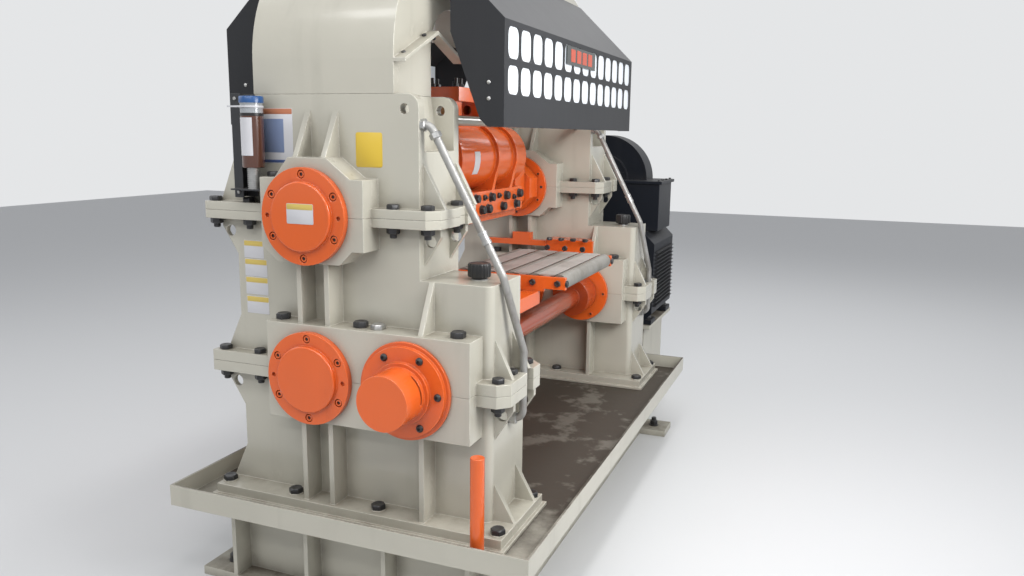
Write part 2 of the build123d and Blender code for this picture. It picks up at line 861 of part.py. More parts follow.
# Roller table that carries the strip to the knives
roller_z = pass_z - roller_proud - roller_radius
rail_top = pass_z - rail_drop
rail_bottom = rail_top - rail_high
rail_inner = roller_half + run_gap
rail_outer = rail_inner + rail_wall
table_left = roller_first_x - roller_radius
table_right = roller_first_x + (roller_count - 1) * roller_pitch + roller_radius
first_bar_x = table_left + cross_bar_inset
last_bar_x = table_right - cross_bar_inset
with BuildPart() as table_frame:
    for direction in (-1, 1):
        plane, depth = across(direction, rail_inner, rail_outer)
        with BuildSketch(plane):
            with Locations(((table_left + table_right) / 2, (rail_top + rail_bottom) / 2)):
                Rectangle(table_right - table_left, rail_high)
            for bar_x in (first_bar_x, last_bar_x):
                with Locations((bar_x, rail_bottom - cross_bar_riser / 2)):
                    Rectangle(cross_bar_wide, cross_bar_riser)
            for index in range(roller_count):
                with Locations((roller_first_x + index * roller_pitch, roller_z)):
                    Circle(roller_pin + fit_gap, mode=Mode.SUBTRACT)
        extrude(amount=depth)
    for index in range(roller_count - 1):
        slat_x = roller_first_x + index * roller_pitch + roller_pitch / 2
        with BuildSketch(facing(rail_inner)):
            with Locations((slat_x, pass_z - slat_sink - slat_plate / 2)):
                Rectangle(slat_wide, slat_plate)
        extrude(amount=2 * rail_inner)
    first_ends = (first_bar_x, near_inner, far_foot)
    last_ends = (last_bar_x, near_inner - box_setback, far_foot)
    for bar_x, near_end, far_end in (first_ends, last_ends):
        with BuildSketch(facing(far_end)):
            with Locations((bar_x, rail_bottom - cross_bar_riser - cross_bar_high / 2)):
                Rectangle(cross_bar_wide, cross_bar_high)
        extrude(amount=far_end - near_end)
save(table_frame.part, "table_frame")

for index in range(roller_count):
    with BuildPart() as roller:
        with BuildSketch(facing(roller_half)):
            with Locations((roller_first_x + index * roller_pitch, roller_z)):
                Circle(roller_radius)
        extrude(amount=2 * roller_half)
        with BuildSketch(facing(rail_outer)):
            with Locations((roller_first_x + index * roller_pitch, roller_z)):
                Circle(roller_pin)
        extrude(amount=2 * rail_outer)
    save(roller.part, f"table_roller_{index + 1}")

# Angle bracket and strap along the drive side housing, beside the table
shelf_right = outer_rib_x - rib_plate / 2
bracket_top = pass_z
bracket_bottom = bracket_top - bracket_high
strap_top = pass_z - strap_drop
with BuildPart() as table_bracket:
    with BuildSketch(facing(far_foot)):
        with Locations(((bracket_left + bracket_right) / 2, (bracket_bottom + bracket_top) / 2)):
            Rectangle(bracket_right - bracket_left, bracket_top - bracket_bottom)
    extrude(amount=bracket_plate)
    with BuildSketch(facing(far_foot + boss_reach)):
        with Locations(((bracket_left + shelf_right) / 2, bracket_top - bracket_plate / 2)):
            Rectangle(shelf_right - bracket_left, bracket_plate)
    extrude(amount=boss_reach)
    with BuildSketch(facing(far_foot + rib_shy)):
        with Locations(((strap_left + bracket_left) / 2, strap_top - strap_plate / 2)):
            Rectangle(bracket_left - strap_left, strap_plate)
        with Locations(((strap_block_left + strap_block_right) / 2, strap_top + strap_block_high / 2)):
            Rectangle(strap_block_right - strap_block_left, strap_block_high)
    extrude(amount=strap_wide)
save(table_bracket.part, "table_bracket")

# Top cover: a sheet portal from one housing to the other, with a bent brace on its right side
cover_near = near_foot + boss_reach
cover_inner_far = far_foot + boss_reach
cover_top = seam_z + cover_rise + cover_radius
arch_near = near_inner - cover_setback
arch_top = cover_top - arch_near + cover_near
with BuildPart() as top_cover:
    with BuildSketch(sideways(cover_left)):
        with Locations(((cover_near + far_outer) / 2, (seam_z + cover_top) / 2)):
            outer = Rectangle(far_outer - cover_near, cover_top - seam_z)
        fillet(outer.vertices().group_by(Axis.Y)[-1], cover_radius)
        with BuildSketch(mode=Mode.PRIVATE) as arch:
            with Locations(((arch_near + cover_inner_far) / 2, (seam_z + arch_top) / 2)):
                inner = Rectangle(cover_inner_far - arch_near, arch_top - seam_z)
            fillet(inner.vertices().group_by(Axis.Y)[-1], arch_radius)
        add(arch.sketch, mode=Mode.SUBTRACT)
    extrude(amount=cover_right - cover_left)
    feet = top_cover.faces().filter_by(Plane.XY).group_by(Axis.Z)[0]
    offset(amount=-cover_skin, openings=feet)
    with BuildSketch(sideways(cover_right)):
        with BuildLine():
            Polyline(
                (cover_near, seam_z + brace_low),
                (cover_near + brace_peak, seam_z + brace_rise),
                (cover_near + brace_end, seam_z + brace_end_rise),
                (cover_near + brace_end, seam_z + brace_end_rise + brace_plate),
                (cover_near + brace_peak, seam_z + brace_rise + brace_plate),
                (cover_near, seam_z + brace_low + brace_plate),
                close=True,
            )
        make_face()
    extrude(amount=brace_reach)
save(top_cover.part, "top_cover")


# Side hoods: folded sheet, side plates and a face with two rows of windows
hood_bottom = seam_z - hood_drop
hood_top = hood_bottom + hood_face
hood_mid = (hood_start + hood_end) / 2
low_window = hood_bottom + window_sill
high_window = low_window + window_low + window_rail


def side_hood(outwards, root_x, reach, name):
    """Hood on one side of the cover; outwards is 1 to the right, -1 to the left."""
    root_top = hood_top + hood_slope_rise
    face_x = root_x + outwards * reach
    inner_x = face_x - outwards * hood_skin
    plate_x = root_x + outwards * hood_plate_inset
    hem_x = face_x - outwards * hood_hem
    with BuildPart() as hood:
        with BuildSketch(facing(hood_end)):
            with BuildLine():
                Polyline(
                    (root_x, root_top),
                    (face_x, hood_top),
                    (face_x, hood_bottom),
                    (inner_x, hood_bottom),
                    (inner_x, hood_top - hood_skin / 2),
                    (root_x, root_top - hood_slope_skin),
                    close=True,
                )
            make_face()
        extrude(amount=hood_end - hood_start)
        for plate_y in (hood_start + hood_skin, hood_end):
            with BuildSketch(facing(plate_y)):
                with BuildLine():
                    Polyline(
                        (root_x, root_top),
                        (face_x, hood_top),
                        (face_x, hood_bottom),
                        (hem_x, hood_bottom),
                        (hem_x - outwards * hood_hem_slant, hood_bottom + hood_hem_rise),
                        (plate_x, hood_top - hood_shoulder),
                        (plate_x, hood_top + hood_hem),
                        (root_x, root_top - hood_plate_inset),
                        close=True,
                    )
                make_face()
            extrude(amount=hood_skin)
        with BuildSketch(sideways(face_x)):
            for sill, high in ((low_window, window_low), (high_window, window_high)):
                with Locations((hood_mid, sill + high / 2)):
                    with GridLocations(window_pitch, 1, window_count, 1):
                        Rectangle(window_wide, high)
        extrude(amount=hood_slope_skin, both=True, mode=Mode.SUBTRACT)
    save(hood.part, name)


side_hood(1, cover_right, right_hood_reach, "right_hood")
side_hood(-1, cover_left, left_hood_reach, "left_hood")

# Pale panels behind the windows of the two hoods
panel_bottom = low_window - window_panel_margin
panel_top = high_window + window_high + window_panel_margin
with BuildPart() as window_panels:
    with BuildSketch(Plane.XY.offset(panel_bottom)):
        panel_y = (window_count - 1) * window_pitch + window_wide + 2 * window_panel_margin
        for face_x in (cover_right + right_hood_reach, cover_left - left_hood_reach):
            step = hood_skin + window_panel / 2
            panel_x = face_x - step if face_x > 0 else face_x + step
            with Locations((panel_x, hood_mid)):
                Rectangle(window_panel, panel_y)
    extrude(amount=panel_top - panel_bottom)
save(window_panels.part, "window_panels")

# Tie tube between the housings at the height of the lifting eyes
with BuildPart() as tie_tube:
    with BuildSketch(facing(far_foot + boss_reach)):
        with Locations((tie_x, seam_z - tie_drop)):
            Circle(tie_radius)
    extrude(amount=far_foot + boss_reach - near_inner)
save(tie_tube.part, "tie_tube")

# Breathers on the side boxes
with BuildPart() as breathers:
    with BuildSketch(Plane.XY.offset(box_top)):
        with Locations((breather_x, near_foot + breather_inset), (breather_x, far_foot + breather_inset)):
            Circle(breather_neck_radius)
    extrude(amount=breather_neck_high)
    with BuildSketch(Plane.XY.offset(box_top + breather_neck_high)):
        with Locations((breather_x, near_foot + breather_inset), (breather_x, far_foot + breather_inset)):
            Circle(breather_radius)
    extrude(amount=breather_high)
    fillet(breathers.edges().group_by(Axis.Z)[-1], breather_round)
save(breathers.part, "breathers")

# Guard post on the tray floor, in front of the operator side foot
with BuildPart() as guard_post:
    with BuildSketch(Plane.XY.offset(tray_floor)):
        with Locations((post_x, near_foot - post_setback)):
            Circle(post_radius)
    extrude(amount=post_high)
save(guard_post.part, "guard_post")

# Oil cup and its small pump in a bracket, on the front of the operator side housing
cup_y = cover_near - cup_gap - cup_radius
cup_bottom = seam_z - cup_drop
shelf_z = cup_bottom - cup_pump_high
with BuildPart() as cup_bracket:
    with BuildSketch(Plane.XY.offset(seam_z - cup_plate_high)):
        with BuildLine():
            Polyline(
                (cup_plate_left, cover_near),
                (cup_plate_left, cup_y),
                (cup_plate_left + cup_plate_wide, cup_y),
                (cup_plate_left + cup_plate_wide, cup_y + cup_plate),
                (cup_plate_left + cup_plate, cup_y + cup_plate),
                (cup_plate_left + cup_plate, cover_near - cup_plate),
                (upper_boss_left, cover_near - cup_plate),
                (upper_boss_left, cover_near),
                close=True,
            )
        make_face()
    extrude(amount=cup_plate_high)
    with BuildSketch(Plane.XY.offset(shelf_z - cup_plate)):
        with Locations(((cup_plate_left + upper_boss_left) / 2, (cup_y - cup_pump_radius + cover_near) / 2)):
            Rectangle(upper_boss_left - cup_plate_left, cover_near - cup_y + cup_pump_radius)
    extrude(amount=cup_plate)
save(cup_bracket.part, "cup_bracket")

with BuildPart() as oil_cup:
    for radius, bottom, high in (
        (cup_pump_radius, shelf_z, cup_pump_high),
        (cup_radius, cup_bottom, cup_high),
    ):
        with BuildSketch(Plane.XY.offset(bottom)):
            with Locations((cup_x, cup_y)):
                Circle(radius)
        extrude(amount=high)
save(oil_cup.part, "oil_cup")


# Steel pipes from the top of each housing to its lower case
def oil_pipe(foot_y):
    """Bent pipe down the right side of a housing, through the notch of its lower flange."""
    top_y = foot_y + boss_reach + pipe_top_inset
    low_y = foot_y + notch_inset
    top_z = seam_z - pipe_top_drop
    exit_z = lower_z - pipe_exit_drop
    with BuildPart() as pipe:
        with BuildLine() as route:
            FilletPolyline(
                (column_right, top_y, top_z),
                (column_right + pipe_stub, top_y, top_z),
                (pipe_knee_x, foot_y + pipe_knee_inset, box_top + pipe_knee_rise),
                (pipe_ear_x, low_y, lower_z + pipe_low_rise),
                (pipe_ear_x, low_y, exit_z),
                (case_right, low_y, exit_z),
                radius=pipe_bend,
            )
        with BuildSketch(Plane(origin=route.line @ 0, z_dir=route.line % 0)):
            Circle(pipe_radius)
        sweep()
    return pipe.part


pipe_pair = [oil_pipe(near_foot), oil_pipe(far_foot)]
with BuildPart() as oil_pipes:
    add(pipe_pair)
save(oil_pipes.part, "oil_pipes")

# Main motor: frame round the shaft line, blower and pedestal
motor_mid = motor_front + motor_length / 2
motor_bottom = lower_z - motor_wide / 2
with BuildPart() as motor_frame:
    with BuildSketch(facing(motor_front + motor_length - motor_shield)):
        with Locations((drive_x, lower_z)):
            body = Rectangle(motor_wide, motor_wide)
        chamfer(body.vertices(), motor_chamfer)
    extrude(amount=motor_length - 2 * motor_shield)
    with BuildSketch(facing(motor_front + motor_length)):
        with Locations((drive_x, lower_z)):
            Circle(motor_shield_radius)
    extrude(amount=motor_length)
    with BuildSketch(Plane.XY.offset(motor_bottom)):
        with Locations((drive_x, motor_mid)):
            with GridLocations(1, motor_length - 2 * motor_shield - motor_foot_long, 1, 2):
                Rectangle(motor_wide, motor_foot_long)
    extrude(amount=motor_foot_high)
    with BuildSketch(facing(motor_front + shaft_in_motor + run_gap)):
        with Locations((drive_x, lower_z)):
            Circle(drive_radius + fit_gap)
    extrude(amount=shaft_in_motor + run_gap, mode=Mode.SUBTRACT)
save(motor_frame.part, "motor_frame")

plenum_bottom = lower_z + motor_wide / 2
plenum_top = plenum_bottom + plenum_high
blower_x = drive_x - blower_shift
blower_front = motor_mid - blower_wide / 2
with BuildPart() as motor_blower:
    with BuildSketch(Plane.XY.offset(plenum_bottom)):
        with Locations((drive_x, motor_mid)):
            Rectangle(plenum_wide, plenum_length)
    extrude(amount=plenum_high - plenum_lid)
    with BuildSketch(Plane.XY.offset(plenum_top - plenum_lid)):
        with Locations((drive_x, motor_mid)):
            Rectangle(plenum_wide + 2 * plenum_lid_rim, plenum_length + 2 * plenum_lid_rim)
    extrude(amount=plenum_lid)
    with BuildSketch(facing(blower_front + blower_wide)):
        with Locations((blower_x, plenum_top)):
            Circle(blower_radius)
            Rectangle(2 * blower_radius, blower_radius, align=(Align.CENTER, Align.MAX), mode=Mode.SUBTRACT)
    extrude(amount=blower_wide)
    with BuildSketch(facing(blower_front)):
        with Locations((blower_x, plenum_top)):
            Circle(blower_inlet_radius)
            Rectangle(2 * blower_radius, blower_radius, align=(Align.CENTER, Align.MAX), mode=Mode.SUBTRACT)
    extrude(amount=blower_inlet_reach)
save(motor_blower.part, "motor_blower")

with BuildPart() as motor_pedestal:
    for plate_z in (0, motor_bottom - pedestal_plate):
        with BuildSketch(Plane.XY.offset(plate_z)):
            with Locations((drive_x, motor_mid)):
                Rectangle(motor_wide, motor_length)
        extrude(amount=pedestal_plate)
    with BuildSketch(Plane.XY.offset(pedestal_plate)):
        with Locations((drive_x, motor_mid)):
            Rectangle(motor_wide - 2 * pedestal_inset, motor_length - 2 * pedestal_inset)
    extrude(amount=motor_bottom - 2 * pedestal_plate)
save(motor_pedestal.part, "motor_pedestal")
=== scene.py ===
# Rotary flying shear, dressed for rendering around its CAD frame. +X runs along the strip line, +Y from
# the operator side to the drive side, and +Z up from the floor. Camera, lamps and floor are in metres,
# and the forms of new pieces in millimetres.
import json
import math

import bmesh
import bpy
import numpy as np
from mathutils import Matrix, Vector


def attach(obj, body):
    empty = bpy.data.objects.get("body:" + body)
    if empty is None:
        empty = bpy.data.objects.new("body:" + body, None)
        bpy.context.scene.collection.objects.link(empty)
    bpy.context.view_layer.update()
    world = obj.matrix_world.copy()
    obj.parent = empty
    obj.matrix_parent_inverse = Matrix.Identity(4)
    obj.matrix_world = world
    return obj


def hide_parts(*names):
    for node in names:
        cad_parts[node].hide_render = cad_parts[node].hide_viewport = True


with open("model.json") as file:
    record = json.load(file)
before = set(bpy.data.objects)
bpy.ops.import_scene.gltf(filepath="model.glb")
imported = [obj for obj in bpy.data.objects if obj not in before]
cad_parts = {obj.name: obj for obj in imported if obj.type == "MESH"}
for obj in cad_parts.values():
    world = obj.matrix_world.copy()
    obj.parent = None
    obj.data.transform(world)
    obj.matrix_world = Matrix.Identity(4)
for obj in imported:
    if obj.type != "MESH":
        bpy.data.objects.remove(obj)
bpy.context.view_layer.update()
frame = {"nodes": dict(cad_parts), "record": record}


# Camera, hand held on the operator side a little above the height of the roller table. Its place and turn
# were solved from the machine's straight edges and bolt circles.
image_width = 1024
focal_pixels = 830.36
camera_place = (1.369, -3.157, 1.521)
camera_right = (0.92825, 0.37176, 0.01223)
camera_up = (-0.07878, 0.16438, 0.98325)
camera_back = (0.36351, -0.91367, 0.18187)
camera_data = bpy.data.cameras.new("camera")
camera_data.sensor_width = 36
camera_data.lens = focal_pixels / image_width * camera_data.sensor_width
camera = bpy.data.objects.new("camera", camera_data)
bpy.context.scene.collection.objects.link(camera)
camera_axes = np.array((camera_right, camera_up, camera_back)).T
camera.matrix_world = Matrix.Translation(camera_place) @ Matrix(camera_axes.tolist()).to_4x4()
bpy.context.scene.camera = camera
bpy.context.scene.view_settings.view_transform = "Standard"


# Stage: a pale floor under the machine, soft lamps like a hall's ceiling rows with two small ones that
# reach the table and the space under the cover, and a pale surround that only the camera and the
# reflections see.
def add_node(tree, kind, inputs=None, **fields):
    """New shader node: fields are its own settings, inputs are values or sockets by name or number."""
    made = tree.nodes.new("ShaderNode" + kind)
    for field, value in fields.items():
        setattr(made, field, value)
    for socket, value in (inputs or {}).items():
        if isinstance(value, bpy.types.NodeSocket):
            tree.links.new(value, made.inputs[socket])
        else:
            made.inputs[socket].default_value = value
    return made


def worked(tree, operation, *values, **fields):
    """Result of one math operation on values or on other nodes' sockets."""
    return add_node(tree, "Math", dict(enumerate(values)), operation=operation, **fields).outputs[0]


def mixed(tree, share, under, over, **fields):
    """Colour between the one under and the one over, by the share of the second."""
    return add_node(tree, "Mix", {0: share, 6: under, 7: over}, data_type="RGBA", **fields).outputs[2]


surround_colour = (0.78, 0.79, 0.80, 1)
skylight_colour = (0.40, 0.41, 0.43, 1)
world = bpy.data.worlds.new("hall")
world.use_nodes = True
bpy.context.scene.world = world
hall = world.node_tree
rays = add_node(hall, "LightPath").outputs
direct = worked(hall, "MAXIMUM", rays["Is Camera Ray"], rays["Is Glossy Ray"])
seen = worked(hall, "MAXIMUM", direct, rays["Is Transmission Ray"])
hall_light = mixed(hall, seen, skylight_colour, surround_colour)
hall.links.new(hall_light, hall.nodes["Background"].inputs["Color"])

floor_half = 14.0
floor_colour = (0.66, 0.665, 0.67, 1)
floor_mesh = bpy.data.meshes.new("floor")
floor_corners = [(-floor_half, -floor_half, 0), (floor_half, -floor_half, 0),
                 (floor_half, floor_half, 0), (-floor_half, floor_half, 0)]
floor_mesh.from_pydata(floor_corners, [], [(0, 1, 2, 3)])
floor = bpy.data.objects.new("floor", floor_mesh)
bpy.context.scene.collection.objects.link(floor)
floor_material = bpy.data.materials.new("floor_paint")
floor_material.use_nodes = True
floor_shader = floor_material.node_tree.nodes["Principled BSDF"]
floor_shader.inputs["Base Color"].default_value = floor_colour
floor_shader.inputs["Roughness"].default_value = 0.6
floor_mesh.materials.append(floor_material)

lamps = (
    ("lamp_row_front", (0.4, -3.3, 4.6), (0.0, -0.7, 1.2), (6.0, 0.5), 66),
    ("lamp_row_outer", (0.6, -5.4, 4.4), (0.0, -0.7, 1.0), (6.0, 0.5), 74),
    ("lamp_row_over", (0.8, 0.2, 5.0), (0.3, 0.2, 1.0), (6.0, 0.6), 60),
    ("lamp_right", (4.6, -1.2, 3.6), (0.0, -0.1, 1.1), (3.0, 3.0), 45),
    ("lamp_left", (-4.4, -1.6, 4.0), (0.0, 0.0, 0.9), (3.0, 3.0), 42),
    ("lamp_rear", (0.8, 4.4, 4.8), (0.0, 0.6, 1.0), (4.0, 4.0), 62),
    ("lamp_table", (1.9, -0.9, 2.0), (0.0, 0.6, 1.25), (1.2, 0.8), 34),
    ("lamp_under_hood", (0.32, 0.25, 1.72), (-0.3, 0.25, 1.62), (0.8, 0.15), 2.4),
)
for lamp_name, lamp_place, lamp_aim, lamp_size, lamp_watts in lamps:
    lamp_data = bpy.data.lights.new(lamp_name, "AREA")
    lamp_data.shape = "RECTANGLE"
    lamp_data.size, lamp_data.size_y = lamp_size
    lamp_data.energy = lamp_watts
    lamp = bpy.data.objects.new(lamp_name, lamp_data)
    bpy.context.scene.collection.objects.link(lamp)
    lamp.location = lamp_place
    lamp.visible_camera = False
    lamp.rotation_euler = (Vector(lamp_aim) - Vector(lamp_place)).to_track_quat("-Z", "Y").to_euler()


# Base frame and drip tray: welded mild steel in the same beige enamel as the housings, dull with dust
# below, and soaked in old oil on the tray's floor.
def new_skin(name, given):
    """Node group for a surface: it asks for what is given, and puts out colour, roughness and normal."""
    tree = bpy.data.node_groups.new(name, "ShaderNodeTree")
    for socket, kind, start in given:
        asked = tree.interface.new_socket(name=socket, in_out="INPUT", socket_type="NodeSocket" + kind)
        asked.default_value = start
    for socket, kind in (("Color", "Color"), ("Roughness", "Float"), ("Normal", "Vector")):
        tree.interface.new_socket(name=socket, in_out="OUTPUT", socket_type="NodeSocket" + kind)
    return tree, tree.nodes.new("NodeGroupInput").outputs


def put_out(tree, **made):
    """Ends a node group: each output that is named gets its colour, value or normal."""
    ends = tree.nodes.new("NodeGroupOutput").inputs
    for socket, value in made.items():
        tree.links.new(value, ends[socket])
    return tree


def noise(tree, place, scale, detail, roughness=0.5):
    """Cloudy noise about 0.5: scale is its spots to a metre, detail and roughness its finer steps."""
    spots = {"Vector": place, "Scale": scale, "Detail": detail, "Roughness": roughness}
    return add_node(tree, "TexNoise", spots).outputs["Fac"]


def ranged(tree, value, low, high, start=0.0, end=1.0):
    """The value carried over from the range low to high to the range start to end, and kept inside it."""
    return add_node(tree, "MapRange", {0: value, 1: low, 2: high, 3: start, 4: end}).outputs[0]


def painted_skin():
    """Node group for sprayed enamel on steel plate. Colour is the paint times a soft tone, covered by dirt
    where faces look up or drips run, by painted shade where corners close in, and along edges by a paler
    colour that is partly paint worn down to the primer and partly a painted highlight."""
    tree, asked = new_skin("painted_skin", (
        ("Paint", "Color", (0.8, 0.8, 0.8, 1)), ("Dirt And Shade", "Color", (0.10, 0.085, 0.065, 1)),
        ("Primer And Highlight", "Color", (0.75, 0.75, 0.72, 1)), ("Dust On Top", "Float", 0.2),
        ("Corner Soot", "Float", 0.4), ("Edge Wear", "Float", 0.3), ("Dullness", "Float", 0.3),
        ("Ripple", "Float", 0.15), ("Patches", "Float", 11.0), ("Clean Until", "Float", -9.0),
        ("Dirty From", "Float", -8.0)))
    place = add_node(tree, "TexCoord").outputs["Object"]
    face = add_node(tree, "NewGeometry").outputs["Normal"]
    tone = ranged(tree, noise(tree, place, 1.9, 3.0), 0.3, 0.7, 0.92, 1.06)
    tinted = mixed(tree, 1.0, asked["Paint"], tone, blend_type="MULTIPLY")
    speck = ranged(tree, noise(tree, place, asked["Patches"], 9.0, 0.62), 0.38, 0.66)
    upwards = add_node(tree, "SeparateXYZ", {0: face}).outputs[2]
    top = worked(tree, "MULTIPLY", ranged(tree, upwards, 0.55, 0.97), asked["Dust On Top"])
    along = add_node(tree, "SeparateXYZ", {0: place}).outputs[1]
    reach = ranged(tree, along, asked["Clean Until"], asked["Dirty From"], 0.3, 1.0)
    top = worked(tree, "MULTIPLY", top, reach)
    # Painted shade: where the occlusion mask finds corners and crevices closing in, the dirt colour darkens
    # the paint.
    openness = add_node(tree, "AmbientOcclusion", {"Distance": 0.055}, samples=6).outputs["AO"]
    corner = worked(tree, "MULTIPLY", ranged(tree, openness, 0.95, 0.45), asked["Corner Soot"])
    drawn_out = add_node(tree, "Mapping", {"Vector": place, "Scale": (13.0, 13.0, 0.9)}).outputs[0]
    drip = ranged(tree, noise(tree, drawn_out, 1.0, 4.0), 0.58, 0.80, 0.0, 0.35)
    drip = worked(tree, "MULTIPLY", drip, asked["Corner Soot"])
    dust_drips_and_shade = worked(tree, "ADD", worked(tree, "ADD", top, corner), drip)
    dust_drips_and_shade = worked(tree, "MULTIPLY", dust_drips_and_shade, ranged(tree, speck, 0.0, 1.0, 0.5, 1.0), use_clamp=True)
    dirtied_and_shaded = mixed(tree, dust_drips_and_shade, tinted, asked["Dirt And Shade"])
    # Edge line: a paler colour along edges, partly worn paint and partly a painted highlight on the rounded
    # edge.
    rounded = add_node(tree, "Bevel", {"Radius": 0.004}, samples=4).outputs[0]
    turn = add_node(tree, "VectorMath", {0: rounded, 1: face}, operation="DOT_PRODUCT").outputs["Value"]
    rubbed = ranged(tree, noise(tree, place, 38.0, 5.0, 0.7), 0.44, 0.60)
    rim = worked(tree, "MULTIPLY", ranged(tree, turn, 0.985, 0.86), rubbed)
    rim = worked(tree, "MULTIPLY", rim, asked["Edge Wear"], use_clamp=True)
    relief = worked(tree, "MULTIPLY_ADD", noise(tree, place, 330.0, 1.0), 0.05, noise(tree, place, 16.0, 2.0))
    bump = add_node(tree, "Bump", {"Strength": asked["Ripple"], "Distance": 0.004, "Height": relief})
    return put_out(tree, Color=mixed(tree, rim, dirtied_and_shaded, asked["Primer And Highlight"]),
                   Roughness=worked(tree, "MULTIPLY_ADD", dust_drips_and_shade, 0.4, asked["Dullness"]),
                   Normal=bump.outputs[0])


enamel = painted_skin()


def coat(name, skin, look, **sockets):
    """Material fed by one node group: look sets the group's inputs, and sockets set the shader's own."""
    material = bpy.data.materials.new(name)
    material.use_nodes = True
    tree = material.node_tree
    shader = tree.nodes["Principled BSDF"]
    effect = tree.nodes.new("ShaderNodeGroup")
    effect.node_tree = skin
    for socket, value in look.items():
        effect.inputs[socket].default_value = value
    for socket, value in sockets.items():
        shader.inputs[socket.replace("_", " ")].default_value = value
    for output, socket in (("Color", "Base Color"), ("Roughness", "Roughness"), ("Normal", "Normal")):
        tree.links.new(effect.outputs[output], shader.inputs[socket])
    return material


def rounded_over(skin, edge, crease):
    """Edges sharper than the crease angle rounded over by a small radius, with shading that follows the
    larger faces, so that flat plates stay flat next to their rounded edges."""
    if edge:
        rounding = skin.modifiers.new("rounding", "BEVEL")
        rounding.width = edge
        rounding.segments = 2
        rounding.limit_method = "ANGLE"
        rounding.angle_limit = math.radians(crease)
        rounding.use_clamp_overlap = False
    shading = skin.modifiers.new("shading", "WEIGHTED_NORMAL")
    shading.weight = 100
    shading.keep_sharp = not edge


carrier = {node: body for body, nodes in frame["record"]["behaviour"]["bodies"].items() for node in nodes}
weld_reach = 2e-5
flat_within = math.radians(0.5)


def dressed(node, finish, edge=0.0015, crease=30):
    """CAD piece in its finish, its facets welded, its flat faces joined, and its edges rounded over."""
    welded = bmesh.new()
    welded.from_mesh(frame["nodes"][node].data)
    bmesh.ops.remove_doubles(welded, verts=welded.verts, dist=weld_reach)
    bmesh.ops.dissolve_limit(welded, angle_limit=flat_within, verts=welded.verts, edges=welded.edges)
    mesh = bpy.data.meshes.new(node + "_skin")
    welded.to_mesh(mesh)
    welded.free()
    mesh.shade_smooth()
    mesh.set_sharp_from_angle(angle=math.radians(crease))
    mesh.materials.clear()
    mesh.materials.append(finish)
    skin = bpy.data.objects.new(node + "_skin", mesh)
    bpy.context.scene.collection.objects.link(skin)
    rounded_over(skin, edge, crease)
    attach(skin, carrier[node])
    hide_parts(node)
    return skin


beige = (0.52, 0.50, 0.425, 1)
base_enamel = coat("base_enamel", enamel, {
    "Paint": beige, "Dirt And Shade": (0.13, 0.11, 0.085, 1), "Primer And Highlight": (0.62, 0.60, 0.54, 1), "Dust On Top": 0.7,
    "Corner Soot": 0.75, "Edge Wear": 0.5, "Dullness": 0.42, "Ripple": 0.2})
tray_enamel = coat("tray_enamel", enamel, {
    "Paint": beige, "Dirt And Shade": (0.050, 0.039, 0.028, 1), "Primer And Highlight": (0.60, 0.57, 0.50, 1), "Dust On Top": 1.6,
    "Corner Soot": 0.45, "Edge Wear": 0.8, "Dullness": 0.30, "Ripple": 0.2, "Patches": 4.2,
    "Clean Until": -1.25, "Dirty From": -0.55})
dressed("base_frame", base_enamel)
dressed("drip_tray", tray_enamel)


# Anchor studs: black threaded rod glued into the floor, with a washer and a nut on each lug of the base
# frame.
def tube_faces(rows, around):
    """Corners and face sizes of a capped tube, whose points are rows rings of around points each."""
    ring, step = np.meshgrid(np.arange(rows - 1) * around, np.arange(around), indexing="ij")
    after = (step + 1) % around
    sides = np.stack((ring + step, ring + after, ring + around + after, ring + around + step), -1).ravel()
    first = np.arange(around)[::-1]
    last = (rows - 1) * around + np.arange(around)
    sizes = np.concatenate((np.full((rows - 1) * around, 4), (around, around)))
    return np.concatenate((sides, first, last)), sizes


def turned(*profile, around=24):
    """Form turned about its axis: a row of the profile is (radius, height, six), and the point at angle a
    stands at radius * (1 - six + six / cos(angle to the nearest sixth of a turn)), so that six = 1 gives
    a hexagon."""
    radius, height, six = np.array(profile, float).T[:, :, None]
    angle = np.arange(around) * 2 * math.pi / around
    flat = 1 / np.cos((angle + math.pi / 6) % (math.pi / 3) - math.pi / 6)
    reach = radius * (1 - six + six * flat)
    points = np.stack((reach * np.cos(angle), reach * np.sin(angle), height + 0 * angle), -1)
    return points.reshape(-1, 3), *tube_faces(len(profile), around)


def placed(form, *groups, twist=0.0):
    """A form repeated at many places. A group is the direction that the form's z axis takes and its
    places; the x axis lies along +X, or along +Y where z looks along X, and each copy is turned by twist
    more than the one before."""
    points, corners, sizes = form
    copies = []
    for along, places in groups:
        axis = np.array(along, float) / np.linalg.norm(along)
        side = np.array((0.0, 1.0, 0.0) if abs(axis[0]) > 0.5 else (1.0, 0.0, 0.0))
        side -= axis * (side @ axis)
        side /= np.linalg.norm(side)
        turn = twist * np.arange(len(places))[:, None]
        x = points[:, 0] * np.cos(turn) - points[:, 1] * np.sin(turn)
        y = points[:, 0] * np.sin(turn) + points[:, 1] * np.cos(turn)
        local = np.stack((x, y, points[:, 2] + 0 * turn), -1)
        copies.append(np.array(places, float)[:, None] + local @ np.stack((side, np.cross(axis, side), axis)))
    spread = np.concatenate(copies)
    shift = np.arange(len(spread))[:, None] * len(points)
    return spread.reshape(-1, 3), (corners + shift).ravel(), np.tile(sizes, len(spread))


def joined(*forms):
    """Several forms as one: their points in one row, and each form's corners counted on from the last."""
    points, corners, sizes = zip(*forms)
    starts = np.cumsum([0] + [len(part) for part in points])
    counted = [part + start for part, start in zip(corners, starts)]
    return np.concatenate(points), np.concatenate(counted), np.concatenate(sizes)


millimetre = 0.001


